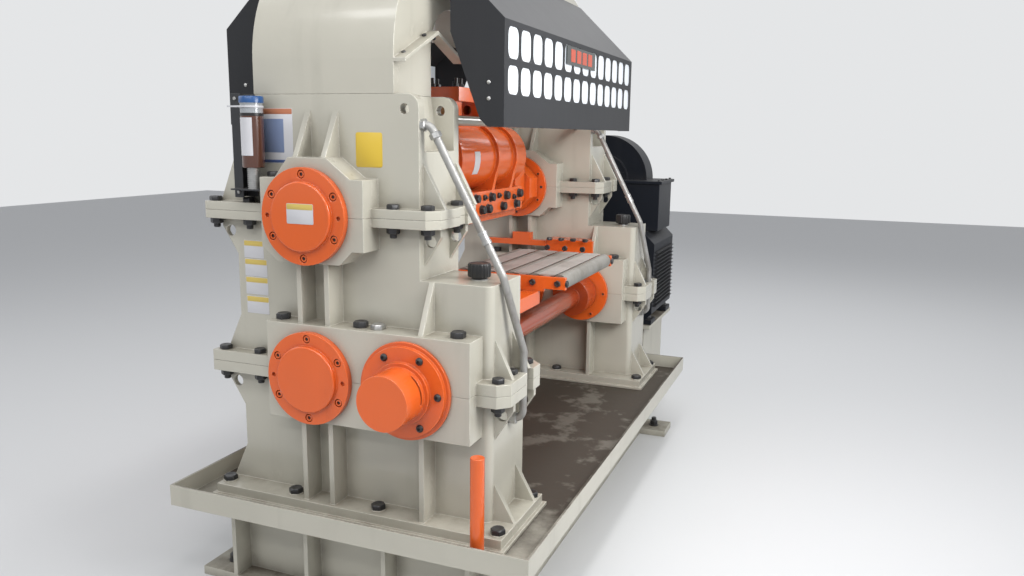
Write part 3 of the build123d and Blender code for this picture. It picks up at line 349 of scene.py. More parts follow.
def piece(name, form, finish, body="frame", crease=35):
    """New piece from a form in millimetres, shaded smooth up to the crease angle, riding on its body."""
    points, corners, sizes = form
    faces = [face.tolist() for face in np.split(corners, np.cumsum(sizes)[:-1])]
    mesh = bpy.data.meshes.new(name)
    mesh.from_pydata((points * millimetre).tolist(), [], faces)
    mesh.shade_smooth()
    mesh.set_sharp_from_angle(angle=math.radians(crease))
    mesh.materials.append(finish)
    made = bpy.data.objects.new(name, mesh)
    bpy.context.scene.collection.objects.link(made)
    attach(made, body)
    return made


def nut(flats, high, rod, tail):
    """Hexagon nut with the rounded end of its threaded rod standing out of it."""
    half = flats / 2
    return turned((half * 0.95, -1, 0), (half * 0.95, 0.6, 0), (half, 0.6, 1),
                  (half, high - half * 0.12, 1), (half * 0.93, high, 0), (rod, high, 0),
                  (rod, high + tail - 2, 0), (rod - 2, high + tail, 0))


def washer(radius, thick):
    """Flat round washer with a softened rim."""
    return turned((radius, -0.5, 0), (radius, thick - 0.6, 0), (radius - 0.6, thick, 0))


bolt_black = coat("bolt_black", enamel, {
    "Paint": (0.020, 0.020, 0.022, 1), "Dirt And Shade": (0.07, 0.06, 0.05, 1), "Primer And Highlight": (0.16, 0.16, 0.16, 1),
    "Dust On Top": 0.2, "Corner Soot": 0.1, "Edge Wear": 0.6, "Dullness": 0.36, "Ripple": 0.2,
    "Patches": 60.0})
up = (0, 0, 1)
down = (0, 0, -1)
lug_top = 30
washer_thick = 4
anchor_places = [(x, y, lug_top) for x in (-530, 530) for y in (-990, 990)]
nut_places = [(x, y, z + washer_thick) for x, y, z in anchor_places]
anchor_washers = placed(washer(24, washer_thick), (up, anchor_places))
anchor_nuts = placed(nut(36, 22, 12, 16), (up, nut_places), twist=0.8)
piece("anchor_nuts", joined(anchor_washers, anchor_nuts), bolt_black)


# Gear housings: thick plates welded up, ribbed and split at two flanged joints, sprayed with glossy beige
# enamel that shows soft waves, painted shade in its corners, and a paler line along its edges that is partly
# wear and partly a painted highlight.
housing_enamel = coat("housing_enamel", enamel, {
    "Paint": beige, "Dirt And Shade": (0.20, 0.175, 0.135, 1), "Primer And Highlight": (0.70, 0.68, 0.61, 1), "Dust On Top": 0.4,
    "Corner Soot": 0.6, "Edge Wear": 0.75, "Dullness": 0.22, "Ripple": 0.16}, Coat_Weight=0.3,
    Coat_Roughness=0.10)
for side in ("near", "far"):
    for level in ("lower", "middle", "upper"):
        dressed(f"{side}_{level}_case", housing_enamel, edge=0.002)
dressed("tie_tube", housing_enamel)


# Housing bolts: black hexagon bolts that hold the feet on the tray, and through bolts with nuts beneath
# the ears and ledges of both joints. One bolt on the lower ledge was changed and is still bright.
def hex_bolt(flats, head):
    """Hexagon head with its washer face below and a chamfered top."""
    half = flats / 2
    return turned((half * 0.95, -1, 0), (half * 0.95, 0.8, 0), (half, 0.8, 1), (half, head - half * 0.14, 1),
                  (half * 0.92, head, 0), (half * 0.5, head, 0), (half * 0.46, head - 0.5, 0))


def steel_skin():
    """Node group for bare steel. Colour and roughness follow a noise stretched along the grain, and
    darker stains follow a broad noise."""
    tree, asked = new_skin("steel_skin", (
        ("Steel", "Color", (0.5, 0.5, 0.5, 1)), ("Stain", "Color", (0.14, 0.12, 0.10, 1)),
        ("Grain", "Vector", (40.0, 900.0, 900.0)), ("Stained", "Float", 0.3), ("Dullness", "Float", 0.35),
        ("Scratch", "Float", 0.2)))
    place = add_node(tree, "TexCoord").outputs["Object"]
    pulled = add_node(tree, "VectorMath", {0: place, 1: asked["Grain"]}, operation="MULTIPLY").outputs[0]
    grain = noise(tree, pulled, 1.0, 4.0)
    shade = ranged(tree, grain, 0.3, 0.7, 0.86, 1.08)
    drawn = mixed(tree, 1.0, asked["Steel"], shade, blend_type="MULTIPLY")
    blot = ranged(tree, noise(tree, place, 7.0, 8.0, 0.65), 0.45, 0.72)
    blot = worked(tree, "MULTIPLY", blot, asked["Stained"], use_clamp=True)
    bump = add_node(tree, "Bump", {"Strength": asked["Scratch"], "Distance": 0.0006, "Height": grain})
    return put_out(tree, Color=mixed(tree, blot, drawn, asked["Stain"]),
                   Roughness=worked(tree, "MULTIPLY_ADD", grain, 0.14, asked["Dullness"]),
                   Normal=bump.outputs[0])


bare_steel = steel_skin()
rivet_steel = coat("rivet_steel", bare_steel, {
    "Steel": (0.50, 0.50, 0.49, 1), "Grain": (90.0, 90.0, 90.0), "Stained": 0.2, "Dullness": 0.3},
    Metallic=0.9)
far_shift = 1760


def both_sides(places):
    """The places on the operator side housing and the same ones on the drive side housing."""
    return list(places) + [(x, y + far_shift, z) for x, y, z in places]


foot_top = 344
lower_ledge = 932
upper_ledge = 1384
lower_ear_top = 801
lower_ear_under = 729
upper_ear_top = 1298
upper_ear_under = 1242
feet = ((-513, -1016), (-244, -1016), (69, -1016), (484, -1022), (484, -738), (-510, -738))
lower_ears = ((-525, -992), (-386, -992), (465, -985), (464, -880), (464, -745), (-525, -775))
upper_ears = ((-535, -993), (-403, -993), (124, -993), (236, -985), (230, -775), (-530, -775))
foot_places = both_sides([(x, y, foot_top) for x, y in feet])
ledge_places = both_sides([(x, -1010, lower_ledge) for x in (-272, 15, 347)])
keeper_places = both_sides([(-287, -1012, upper_ledge)])
lower_ear_places = both_sides([(x, y, lower_ear_top) for x, y in lower_ears])
upper_ear_places = both_sides([(x, y, upper_ear_top) for x, y in upper_ears])
under_lower_ears = [(x, y, lower_ear_under) for x, y, z in lower_ear_places]
under_upper_ears = [(x, y, upper_ear_under) for x, y, z in upper_ear_places]
big_heads = placed(hex_bolt(41, 19), (up, foot_places + ledge_places), twist=0.9)
ear_heads = placed(hex_bolt(36, 15), (up, lower_ear_places + upper_ear_places + keeper_places), twist=0.7)
ear_nuts = placed(nut(36, 18, 11, 13), (down, under_lower_ears), (down, under_upper_ears), twist=1.1)
piece("housing_bolts", joined(big_heads, ear_heads, ear_nuts), bolt_black)
changed_bolt = placed(hex_bolt(41, 16), (up, [(78, -1012, lower_ledge)]))
piece("changed_bolt", changed_bolt, rivet_steel)
foot_washers = placed(washer(25, 3), (up, foot_places))
piece("foot_washers", foot_washers, housing_enamel)


# Bearing caps on the operator side: turned steel in glossy orange, each held by low socket screws in its
# seats.
orange = (0.78, 0.128, 0.018, 1)
orange_enamel = coat("orange_enamel", enamel, {
    "Paint": orange, "Dirt And Shade": (0.16, 0.03, 0.012, 1), "Primer And Highlight": (0.92, 0.34, 0.15, 1), "Dust On Top": 0.12,
    "Corner Soot": 0.5, "Edge Wear": 0.5, "Dullness": 0.2, "Ripple": 0.10}, Coat_Weight=0.4,
    Coat_Roughness=0.08)
outwards = (0, -1, 0)
inwards = (0, 1, 0)


def socket_screw(radius, high, key, deep):
    """Round screw head with a hexagon socket sunk into it."""
    return turned((radius, -1, 0), (radius, high - 1, 0), (radius - 1, high, 0), (key, high, 1),
                  (key, high - deep, 1))


def socket_floor(high, key, deep):
    """Dark bottom of a screw's socket."""
    return turned((key * 0.97, high - deep - 0.4, 1), (key * 0.97, high - deep + 0.4, 1))


def on_circle(x, y, z, radius, count, start):
    """Places on a bolt circle about a centre, facing along Y: x + radius * cos, z + radius * sin."""
    angle = np.radians(start) + np.arange(count) * 2 * math.pi / count
    return np.stack((x + radius * np.cos(angle), y + 0 * angle, z + radius * np.sin(angle)), -1)


crank_x = -138
drive_x = 198
lower_shaft = 765
upper_shaft = 1270
shafts = (lower_shaft, upper_shaft)
cap_circle = 127
seat_floor = -1071
for node in ("near_upper_cap", "near_lower_cap", "near_drive_cap"):
    dressed(node, orange_enamel)
seat_places = np.concatenate([on_circle(crank_x, seat_floor, z, cap_circle, 6, 30) for z in shafts])
cap_screws = placed(socket_screw(10.5, 8, 5.6, 5), (outwards, seat_places), twist=0.5)
piece("cap_screws", cap_screws, orange_enamel)
cap_sockets = placed(socket_floor(8, 5.6, 5), (outwards, seat_places), twist=0.5)
# Black rings on the seat floors round the screw heads are a painted shadow in the gap between each head and
# its seat.
seat_shadows = placed(washer(12.6, 0.5), (outwards, seat_places))
piece("cap_sockets", joined(cap_sockets, seat_shadows), bolt_black)


# Button head bolts on the drive cap's flange: bare black steel, six round the collar. A dark ring fills
# the narrow slot that runs round the collar.
def button_bolt(radius, high, key):
    """Domed head with a hexagon socket: radius as the cosine of an angle, height as its sine."""
    dome = [(radius * math.cos(t), high * math.sin(t), 0) for t in np.linspace(0, 0.95, 5)]
    return turned((radius, -1, 0), *dome, (key, high * 0.86, 1), (key, high * 0.35, 1))


drive_cap_face = -1085
drive_slot_face = -1113
drive_bolt_places = on_circle(drive_x, drive_cap_face, lower_shaft, 118, 6, 0)
drive_bolts = placed(button_bolt(12, 9, 5), (outwards, drive_bolt_places), twist=0.4)
piece("drive_cap_bolts", drive_bolts, bolt_black)
slot_ring = turned((75.6, 0.4, 0), (75.6, 8.6, 0), around=48)
slot_shadow = placed(slot_ring, (outwards, [(drive_x, drive_slot_face, lower_shaft)]))
piece("drive_slot_shadow", slot_shadow, bolt_black)


# Bearing rings between the housings and flat caps on the drive side, in the same orange, with sunk socket
# screws.
ring_face = 681
ring_circle = 126
drive_ring_circle = 119
back_face = 1081
for node in ("far_caps", "near_rings", "far_rings"):
    dressed(node, orange_enamel)
ring_screws = []
ring_sockets_and_hole_shade = []
for face_y, look in ((ring_face, outwards), (-ring_face, inwards)):
    places = np.concatenate([on_circle(crank_x, face_y, z, ring_circle, 6, 30) for z in shafts]
                            + [on_circle(drive_x, face_y, lower_shaft, drive_ring_circle, 6, 0)])
    ring_screws.append(placed(socket_screw(10.5, 3, 5.6, 3), (look, places), twist=0.5))
    ring_sockets_and_hole_shade.append(placed(socket_floor(3, 5.6, 2.6), (look, places), twist=0.5))
    # Black discs on the two jacking holes of each ring are painted shade for the dark inside of the holes.
    jacks = np.concatenate([on_circle(crank_x, face_y, z, ring_circle, 2, 0) for z in shafts])
    ring_sockets_and_hole_shade.append(placed(washer(7, 0.5), (look, jacks)))
back_places = np.concatenate([on_circle(crank_x, back_face, z, cap_circle, 6, 30) for z in shafts])
ring_screws.append(placed(socket_screw(11, 6, 6, 5), (inwards, back_places), twist=0.5))
ring_sockets_and_hole_shade.append(placed(socket_floor(6, 6, 5), (inwards, back_places), twist=0.5))
piece("ring_screws", joined(*ring_screws), orange_enamel)
piece("ring_sockets_and_hole_shade", joined(*ring_sockets_and_hole_shade), bolt_black)


# Cranks and the drive shaft between the bearings: forged and turned steel, painted over their webs. The lower
# ones and the shaft take a darker copy of the orange, a painted shade for the deep shadow low in the machine.
orange_in_painted_shade = coat("orange_in_painted_shade", enamel, {
    "Paint": (0.40, 0.058, 0.013, 1), "Dirt And Shade": (0.06, 0.02, 0.012, 1), "Primer And Highlight": (0.7, 0.2, 0.08, 1),
    "Dust On Top": 0.5, "Corner Soot": 0.6, "Edge Wear": 0.5, "Dullness": 0.22, "Ripple": 0.10},
    Coat_Weight=0.4, Coat_Roughness=0.10)
for node in ("near_upper_crank", "far_upper_crank"):
    dressed(node, orange_enamel)
for node in ("near_lower_crank", "far_lower_crank", "drive_shaft"):
    dressed(node, orange_in_painted_shade)


# Knife beams: welded tube and plate in orange on the crank pins. The lower one is the upper one turned
# half a turn about the pass line, so each detail is made twice.
pass_line = 1017.5
beam_bodies = (("upper", 1, "upper_knife_beam"), ("lower", -1, "lower_knife_beam"))
bar_face = -20


def for_beam(sign, places):
    """Places on the upper beam, or turned half a turn about the pass line for the lower one."""
    turned_places = np.array(places, float)
    if sign < 0:
        turned_places[:, 0] = 2 * crank_x - turned_places[:, 0]
        turned_places[:, 2] = 2 * pass_line - turned_places[:, 2]
    return turned_places


lip_height = 1213
clamps = ((-390, 1260), (-235, 1261), (-78, 1262), (78, 1260), (243, 1258), (400, 1258))
bolt_places = [(bar_face, y, z) for y, z in clamps]
bolt_places += [(bar_face, y, lip_height) for y in (-330, -175, -20, 45, 205, 362)]
stud_places = [(bar_face, y, z) for y, z in ((-150, 1262), (8, 1262), (160, 1262), (335, 1246))]
for name, sign, body in beam_bodies:
    dressed(f"{name}_beam", orange_enamel)
    along = (sign, 0, 0)
    heads = placed(hex_bolt(32, 20), (along, for_beam(sign, bolt_places)), twist=0.8)
    collars = placed(washer(20, 3), (along, for_beam(sign, bolt_places)))
    studs = placed(nut(22, 10, 6, 8), (along, for_beam(sign, stud_places)), twist=0.8)
    piece(f"{name}_clamp_bolts", joined(heads, collars, studs), bolt_black, body)


# Knives: ground bars of tool steel, seated against their beams and bolted through their backs with socket
# screws.
knife_steel = coat("ground_steel", bare_steel, {
    "Steel": (0.55, 0.55, 0.55, 1), "Grain": (60.0, 700.0, 60.0), "Stained": 0.25, "Dullness": 0.28},
    Metallic=1.0)
knife_back = -160
knife_screw_height = 1214
knife_screw_places = [(knife_back, y, knife_screw_height) for y in range(-385, 386, 110)]
for name, sign, body in beam_bodies:
    dressed(f"{name}_knife", knife_steel, edge=0.0008)
    behind = (-sign, 0, 0)
    screws = placed(socket_screw(12, 4, 6.5, 4), (behind, for_beam(sign, knife_screw_places)), twist=0.6)
    piece(f"{name}_knife_screws", screws, bolt_black, body)


# Guide bearings on the beams: two split eyes with bronze bushes under one clamp block, held down by tall
# studs.
bronze = coat("bronze", bare_steel, {
    "Steel": (0.52, 0.30, 0.14, 1), "Stain": (0.10, 0.06, 0.03, 1), "Grain": (30.0, 30.0, 30.0),
    "Stained": 0.6, "Dullness": 0.35}, Metallic=0.9)
clamp_top = 1702
eye_height = 1618.5
eye_face = 150
guide_stud_places = [(crank_x + dx, y, clamp_top) for dx in (-52, 52) for y in (-122, -78, 78, 122)]
for name, sign, body in beam_bodies:
    dressed(f"{name}_guide_bearing", orange_enamel)
    above = (0, 0, sign)
    studs = placed(nut(24, 14, 7, 22), (above, for_beam(sign, guide_stud_places)), twist=0.9)
    rings = placed(washer(14, 3), (above, for_beam(sign, guide_stud_places)))
    piece(f"{name}_guide_studs", joined(studs, rings), bolt_black, body)
    bush = turned((27, -1, 0), (27, 5, 0), (25, 6, 0), (21, 6, 0), (19.6, 5, 0), (19.6, 0, 0))
    ends = placed(bush, (outwards, for_beam(sign, [(crank_x, -eye_face, eye_height)])),
                  (inwards, for_beam(sign, [(crank_x, eye_face, eye_height)])))
    piece(f"{name}_guide_bushes", ends, bronze, body)


# Roller table: orange rails on a cross bar and an arm, bare steel rollers that turn on screwed axles, and
# steel slats with bevelled edges that nearly close the gaps between the rollers.
def extruded(outline, low, high):
    """Prism over an outline that runs counterclockwise, from height low to height high."""
    rings = [np.column_stack((outline, np.full(len(outline), height))) for height in (low, high)]
    return np.concatenate(rings), *tube_faces(2, len(outline))


def bar(x_low, x_high, y_low, y_high, low, high):
    """Rectangular bar between two corners."""
    corners = np.array(((x_low, y_low), (x_high, y_low), (x_high, y_high), (x_low, y_high)), float)
    return extruded(corners, low, high)


roller_steel = coat("roller_steel", bare_steel, {
    "Steel": (0.28, 0.268, 0.242, 1), "Stain": (0.12, 0.10, 0.075, 1), "Grain": (30.0, 400.0, 30.0),
    "Stained": 0.75, "Dullness": 0.46}, Metallic=0.25)
slat_steel = coat("slat_steel", bare_steel, {
    "Steel": (0.46, 0.445, 0.42, 1), "Stain": (0.16, 0.135, 0.11, 1), "Grain": (500.0, 20.0, 30.0),
    "Stained": 0.6, "Dullness": 0.42}, Metallic=0.2)
for number in range(1, 6):
    dressed(f"table_roller_{number}", roller_steel)
roller_pitch = 97
roller_places = [32 + roller_pitch * step for step in range(5)]
roller_axis = 986.5
rail_thick = 18
rail_face = 323
rail_inside = rail_face - rail_thick
rail_end = 450
rail_low = 963.5
rail_high = 1009.5
bar_high = 50
bar_top = 948.5
arm_top = 953.5
rail_outline = np.array(((2, rail_low), (42, rail_low), (42, bar_top), (102, bar_top), (102, rail_low),
                         (266, rail_low), (266, arm_top), (368, arm_top), (368, rail_low),
                         (rail_end, rail_low), (rail_end, rail_high), (2, rail_high)))
rail_places = [(0, y, 0) for y in (-rail_inside, rail_face)]
rails = placed(extruded(rail_outline, 0, rail_thick), (outwards, rail_places))
cross_bar = bar(42, 102, -701, 701, bar_top - bar_high, bar_top)
near_arm = bar(286, 346, -741, -rail_inside, arm_top - bar_high, arm_top)
table = piece("table_rails", joined(rails, cross_bar, near_arm), orange_enamel)
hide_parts("table_frame")
rounded_over(table, 0.0015, 30)
slat_low = 1007.5
slat_step = 1011.5
slat_top = 1015.5
slat_outline = np.array(((-12.5, slat_low), (12.5, slat_low), (12.5, slat_step), (26.5, slat_step),
                         (34, slat_top), (-34, slat_top), (-26.5, slat_step), (-12.5, slat_step)))
slat_places = [(x + roller_pitch / 2, rail_inside, 0) for x in roller_places[:-1]]
slats = placed(extruded(slat_outline, 0, 2 * rail_inside), (outwards, slat_places))
piece("table_slats", slats, slat_steel)
right = (1, 0, 0)
rail_bolts = placed(hex_bolt(22, 8), (outwards, [(x, -rail_face, roller_axis) for x in roller_places]),
                    (inwards, [(x, rail_face, roller_axis) for x in roller_places]),
                    (right, [(rail_end, y, 986) for y in (-314, 314)]), twist=0.8)
piece("table_bolts", rail_bolts, bolt_black)


# Angle bracket and strap beside the table: flat and angle steel in orange enamel, fixed to the drive side
# housing, with hexagon bolts through its top and its upright face.
dressed("table_bracket", orange_enamel)
bracket_top = 1017.5
bracket_face = 585
bracket_bolts = placed(hex_bolt(24, 13), (up, [(x, 650, bracket_top) for x in (48, 108, 168, 228)]),
                       (outwards, [(x, bracket_face, 990) for x in (62, 150, 238)]), twist=0.9)
piece("bracket_bolts", bracket_bolts, bolt_black)


# Top cover: folded and rolled sheet in the housings' enamel, carried by the housings and screwed to its
# bent brace under the hood.
dressed("top_cover", housing_enamel)
brace_x = 131
brace_screws = placed(hex_bolt(13, 6),
                      (outwards, [(brace_x + 16, -765, 1812)]),
                      ((0, -0.42, 0.91), [(brace_x, -800, 1815.5), (brace_x, -930, 1753)]),
                      ((0, 0.36, 0.93), [(brace_x, -700, 1813), (brace_x, -600, 1776)]), twist=0.5)
piece("brace_screws", brace_screws, bolt_black)


# Side hoods: thin folded sheet in dark grey enamel with two rows of windows cut through it, riveted to
# side plates at both ends.
hood_enamel = coat("hood_enamel", enamel, {
    "Paint": (0.038, 0.039, 0.042, 1), "Dirt And Shade": (0.13, 0.125, 0.12, 1), "Primer And Highlight": (0.17, 0.17, 0.175, 1),
    "Dust On Top": 0.2, "Corner Soot": 0.08, "Edge Wear": 0.4, "Dullness": 0.40, "Ripple": 0.10},
    Specular_IOR_Level=0.06)
dressed("right_hood", hood_enamel, edge=0.001)
dressed("left_hood", hood_enamel, edge=0.001)
hood_ends = ((-755, outwards), (830, inwards))
rivet_radius = 6.5
rivet_high = 3.2
dome = [(rivet_radius * math.cos(t), rivet_high * math.sin(t), 0) for t in np.linspace(0, 1.3, 5)]
rivet = turned((rivet_radius, -1, 0), *dome)
rivets = [placed(rivet, (look, [(x, y, z) for x in (328, -590) for z in (1678, 1629)]))
          for y, look in hood_ends]
piece("hood_rivets", joined(*rivets), rivet_steel)


# Window corners: the windows are cut with round corners, and each of these small pieces of the sheet
# fills a square corner of the plain opening in the CAD piece.
def window_corner(radius, side, lift):
    """Outline from a square corner to its quarter circle, radius * (1 - sin t), radius * (1 - cos t)."""
    t = np.linspace(0, math.pi / 2, 7)
    arc = radius * (1 - np.column_stack((np.sin(t), np.cos(t))))
    outline = np.concatenate((np.zeros((1, 2)), arc)) * (-side, -lift)
    return outline if side * lift > 0 else outline[::-1]


window_wide = 94
window_middle = 37.5
window_pitch = 110
window_steps = window_middle + window_pitch * (np.arange(14) - 6.5)
window_rows = ((1644, 1732), (1752, 1848))
right_hood_face = 380
left_hood_face = -661
corner_forms = []
for face_x, look in ((right_hood_face, 1), (left_hood_face, -1)):
    for side in (-1, 1):
        for lift in (-1, 1):
            corner = extruded(window_corner(24, side, lift), -3.9, -0.1)
            levels = [row[1] if lift * look > 0 else row[0] for row in window_rows]
            places = [(face_x, y + side * window_wide / 2, z) for y in window_steps for z in levels]
            corner_forms.append(placed(corner, ((look, 0, 0), places)))
piece("window_corners", joined(*corner_forms), hood_enamel)


# Panels behind the windows: milky plastic sheet, glued to the back of each hood, with a faint painted glow
# that stands in for light coming through from behind.
panel_plastic_with_painted_glow = coat("panel_plastic_with_painted_glow", enamel, {
    "Paint": (0.72, 0.745, 0.78, 1), "Dirt And Shade": (0.42, 0.42, 0.42, 1), "Primer And Highlight": (0.75, 0.75, 0.75, 1),
    "Dust On Top": 0.1, "Corner Soot": 0.12, "Edge Wear": 0.0, "Dullness": 0.25, "Ripple": 0.05},
    Emission_Color=(0.80, 0.90, 0.97, 1), Emission_Strength=0.22)
dressed("window_panels", panel_plastic_with_painted_glow, edge=0)


# Display over four windows of the right hood: a dark glossy plate fixed to the hood's face, with four
# plain fields of red plastic glued to its front.
def rounded_plate(wide, high, thick, radius):
    """Plate with rounded corners: an arc about each corner's centre, softened at the front edge."""
    t = np.linspace(0, 2 * math.pi, 24, endpoint=False) + math.pi / 48
    arc = np.column_stack((np.cos(t), np.sin(t)))
    centre = np.sign(arc) * (wide / 2 - radius, high / 2 - radius)
    points = [np.column_stack((centre + arc * (radius - inset), np.full(24, height))) for inset, height in
              ((0, -0.5), (0, thick * 0.7), (min(0.3, thick / 2), thick))]
    return np.concatenate(points), *tube_faces(3, 24)


display_dark = coat("display_dark", enamel, {
    "Paint": (0.030, 0.036, 0.034, 1), "Dirt And Shade": (0.10, 0.10, 0.09, 1), "Primer And Highlight": (0.1, 0.1, 0.1, 1),
    "Dust On Top": 0.1, "Corner Soot": 0.0, "Edge Wear": 0.2, "Dullness": 0.16, "Ripple": 0.02})
display_lit = coat("display_lit", enamel, {
    "Paint": (0.50, 0.060, 0.020, 1), "Dirt And Shade": (0.2, 0.03, 0.02, 1), "Primer And Highlight": (0.5, 0.1, 0.05, 1),
    "Dust On Top": 0.0, "Corner Soot": 0.0, "Edge Wear": 0.0, "Dullness": 0.3, "Ripple": 0.02})
display_thick = 3
display = placed(rounded_plate(364, 68, display_thick, 3), (right, [(right_hood_face, 24, 1812)]))
piece("display_plate", display, display_dark)
field_places = [(right_hood_face + display_thick, y, 1813) for y in (-86, -13, 60, 133)]
fields = placed(rounded_plate(52, 46, 0.8, 2), (right, field_places))
piece("display_fields", fields, display_lit)


# Breathers on the side boxes: caps of black plastic with knurled rims on short necks, each screwed down
# onto a turned steel ring.
black_plastic = coat("black_plastic", enamel, {
    "Paint": (0.014, 0.014, 0.015, 1), "Dirt And Shade": (0.10, 0.09, 0.08, 1), "Primer And Highlight": (0.05, 0.05, 0.05, 1),
    "Dust On Top": 0.25, "Corner Soot": 0.1, "Edge Wear": 0.2, "Dullness": 0.34, "Ripple": 0.1,
    "Patches": 40.0})


def knurled(radius, depth, teeth, *profile):
    """Turned form whose rim is pressed in between its teeth by depth * (1 - cos(teeth * angle)) / 2."""
    points, corners, sizes = turned(*profile, around=6 * teeth)
    angle = np.arctan2(points[:, 1], points[:, 0])
    reach = np.hypot(points[:, 0], points[:, 1])
    press = np.where(reach > radius - 0.01, depth * (1 - np.cos(teeth * angle)) / 2, 0) / np.maximum(reach, 1)
    points[:, :2] *= (1 - press)[:, None]
    return points, corners, sizes


breather_places = [(350, -867, 1083), (350, 893, 1083)]
breather_caps = placed(knurled(36, 2.2, 20, (25, -1, 0), (25, 10, 0), (34, 10, 0), (36, 12, 0), (36, 46, 0),
                               (33, 51, 0), (28, 52, 0), (27, 50.5, 0)), (up, breather_places), twist=0.3)
breathers = piece("breather_caps", breather_caps, black_plastic)
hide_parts("breathers")
neck_rings = placed(turned((29, -0.5, 0), (29, 3, 0), (27, 4, 0)), (up, breather_places))
piece("breather_rings", neck_rings, rivet_steel)


# Oil pipes: drawn steel tube with a nut and an elbow at the top, a sleeve in the long run and a nut at
# the bottom.
pipe_steel = coat("pipe_steel", bare_steel, {
    "Steel": (0.38, 0.375, 0.36, 1), "Stain": (0.17, 0.15, 0.13, 1), "Grain": (120.0, 120.0, 12.0),
    "Stained": 0.6, "Dullness": 0.38}, Metallic=0.45)
dressed("oil_pipes", pipe_steel, edge=0)
run_top = np.array((229.0, -951.0, 1545.0))
run_end = np.array((447.0, -912.0, 1105.0))
run_way = (run_end - run_top) / np.linalg.norm(run_end - run_top)
wall_nut = turned((18, -1, 0), (18, 3, 0), (16, 3, 1), (16, 13, 1), (14.5, 14.5, 0), (12.6, 15, 0))
run_nut = turned((12.6, 0, 0), (15, 0.5, 0), (16, 2, 1), (16, 17, 1), (14, 19, 0), (12.6, 20, 0))
sleeve = turned((12.4, 0, 0), (15, 0.6, 0), (15, 9, 0), (13.6, 10, 0), (13.6, 30, 0), (15, 31, 0),
                (15, 40, 0), (12.4, 41, 0))
low_nut = turned((12.6, 0, 0), (15, 1, 0), (17, 2, 1), (17, 20, 1), (15, 22, 0), (20, 22, 0), (20, 26, 0))
left = (-1, 0, 0)
fittings = joined(
    placed(wall_nut, (right, both_sides([(201, -951, 1545)]))),
    placed(run_nut, (run_way, both_sides([run_top + run_way * 24]))),
    placed(sleeve, (run_way, both_sides([run_top + run_way * 345]))),
    placed(low_nut, (left, both_sides([(463, -822, 640)]))))
piece("pipe_fittings", fittings, rivet_steel)


# Oil cup in its black bracket: a cartridge of brown grease under a black follower, with a blue lid, a
# pale strap and a blank label, on a small ribbed pump.
black_enamel = coat("black_enamel", enamel, {
    "Paint": (0.026, 0.028, 0.032, 1), "Dirt And Shade": (0.12, 0.11, 0.10, 1), "Primer And Highlight": (0.12, 0.12, 0.12, 1),
    "Dust On Top": 0.3, "Corner Soot": 0.2, "Edge Wear": 0.4, "Dullness": 0.33, "Ripple": 0.12})
grease_brown = coat("grease_brown", enamel, {
    "Paint": (0.085, 0.027, 0.014, 1), "Dirt And Shade": (0.05, 0.02, 0.01, 1), "Primer And Highlight": (0.2, 0.08, 0.04, 1),
    "Dust On Top": 0.0, "Corner Soot": 0.0, "Edge Wear": 0.0, "Dullness": 0.16, "Ripple": 0.05},
    Coat_Weight=0.6)
collar_grey = coat("collar_grey", enamel, {
    "Paint": (0.34, 0.36, 0.38, 1), "Dirt And Shade": (0.1, 0.1, 0.1, 1), "Primer And Highlight": (0.5, 0.5, 0.5, 1),
    "Dust On Top": 0.0, "Corner Soot": 0.1, "Edge Wear": 0.0, "Dullness": 0.12, "Ripple": 0.03},
    Coat_Weight=0.6)
lid_blue = coat("lid_blue", enamel, {
    "Paint": (0.020, 0.085, 0.25, 1), "Dirt And Shade": (0.1, 0.1, 0.1, 1), "Primer And Highlight": (0.1, 0.2, 0.4, 1),
    "Dust On Top": 0.2, "Corner Soot": 0.1, "Edge Wear": 0.1, "Dullness": 0.28, "Ripple": 0.03})
label_white = coat("label_white", enamel, {
    "Paint": (0.62, 0.62, 0.645, 1), "Dirt And Shade": (0.45, 0.43, 0.38, 1), "Primer And Highlight": (0.7, 0.7, 0.7, 1),
    "Dust On Top": 0.1, "Corner Soot": 0.1, "Edge Wear": 0.0, "Dullness": 0.3, "Ripple": 0.04})
bracket_bend = np.array(((-424, -971), (-424, -1032), (-391, -1032), (-391, -1027), (-419, -1027),
                         (-419, -976), (-380, -976), (-380, -971)), float)
bracket_form = joined(extruded(bracket_bend, 1315, 1635), bar(-419, -306, -1058, -971, 1339, 1344))
bracket = piece("cup_bracket_plate", bracket_form, black_enamel)
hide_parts("cup_bracket")
rounded_over(bracket, 0.0008, 30)
cup_place = (-346, -1032, 0)
cup_radius = 34.5


def cup_piece(name, form, finish):
    """Piece of the cup, from a form about the cup's upright axis."""
    return piece(name, placed(form, (up, [cup_place])), finish)


grease_form = turned((33, 1410, 0), (cup_radius, 1412, 0), (cup_radius, 1568, 0), around=48)
grease = cup_piece("cup_grease", grease_form, grease_brown)
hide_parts("oil_cup")
collar = turned((cup_radius, 1575, 0), (cup_radius, 1603, 0), (36, 1604, 0), (36, 1607, 0), around=48)
cup_piece("cup_collar", collar, collar_grey)
follower = turned((cup_radius, 1567, 0), (35.3, 1568, 0), (35.3, 1575, 0), (cup_radius, 1576, 0), around=48)
cup_piece("cup_follower", follower, black_plastic)
lid = turned((36, 1606, 0), (37, 1607, 0), (37, 1623, 0), (35, 1626.5, 0), (24, 1627, 0), around=48)
cup_piece("cup_lid", lid, lid_blue)
strap_low = 1592.4
strap_high = 1597.6
strap_ring = turned((34.4, strap_low - 0.4, 0), (37, strap_low, 0), (37, strap_high, 0),
                    (34.4, strap_high + 0.4, 0), around=48)
strap_bar = bar(-62, 0, -37.6, -36, strap_low, strap_high)
cup_piece("cup_strap", joined(strap_ring, strap_bar), label_white)


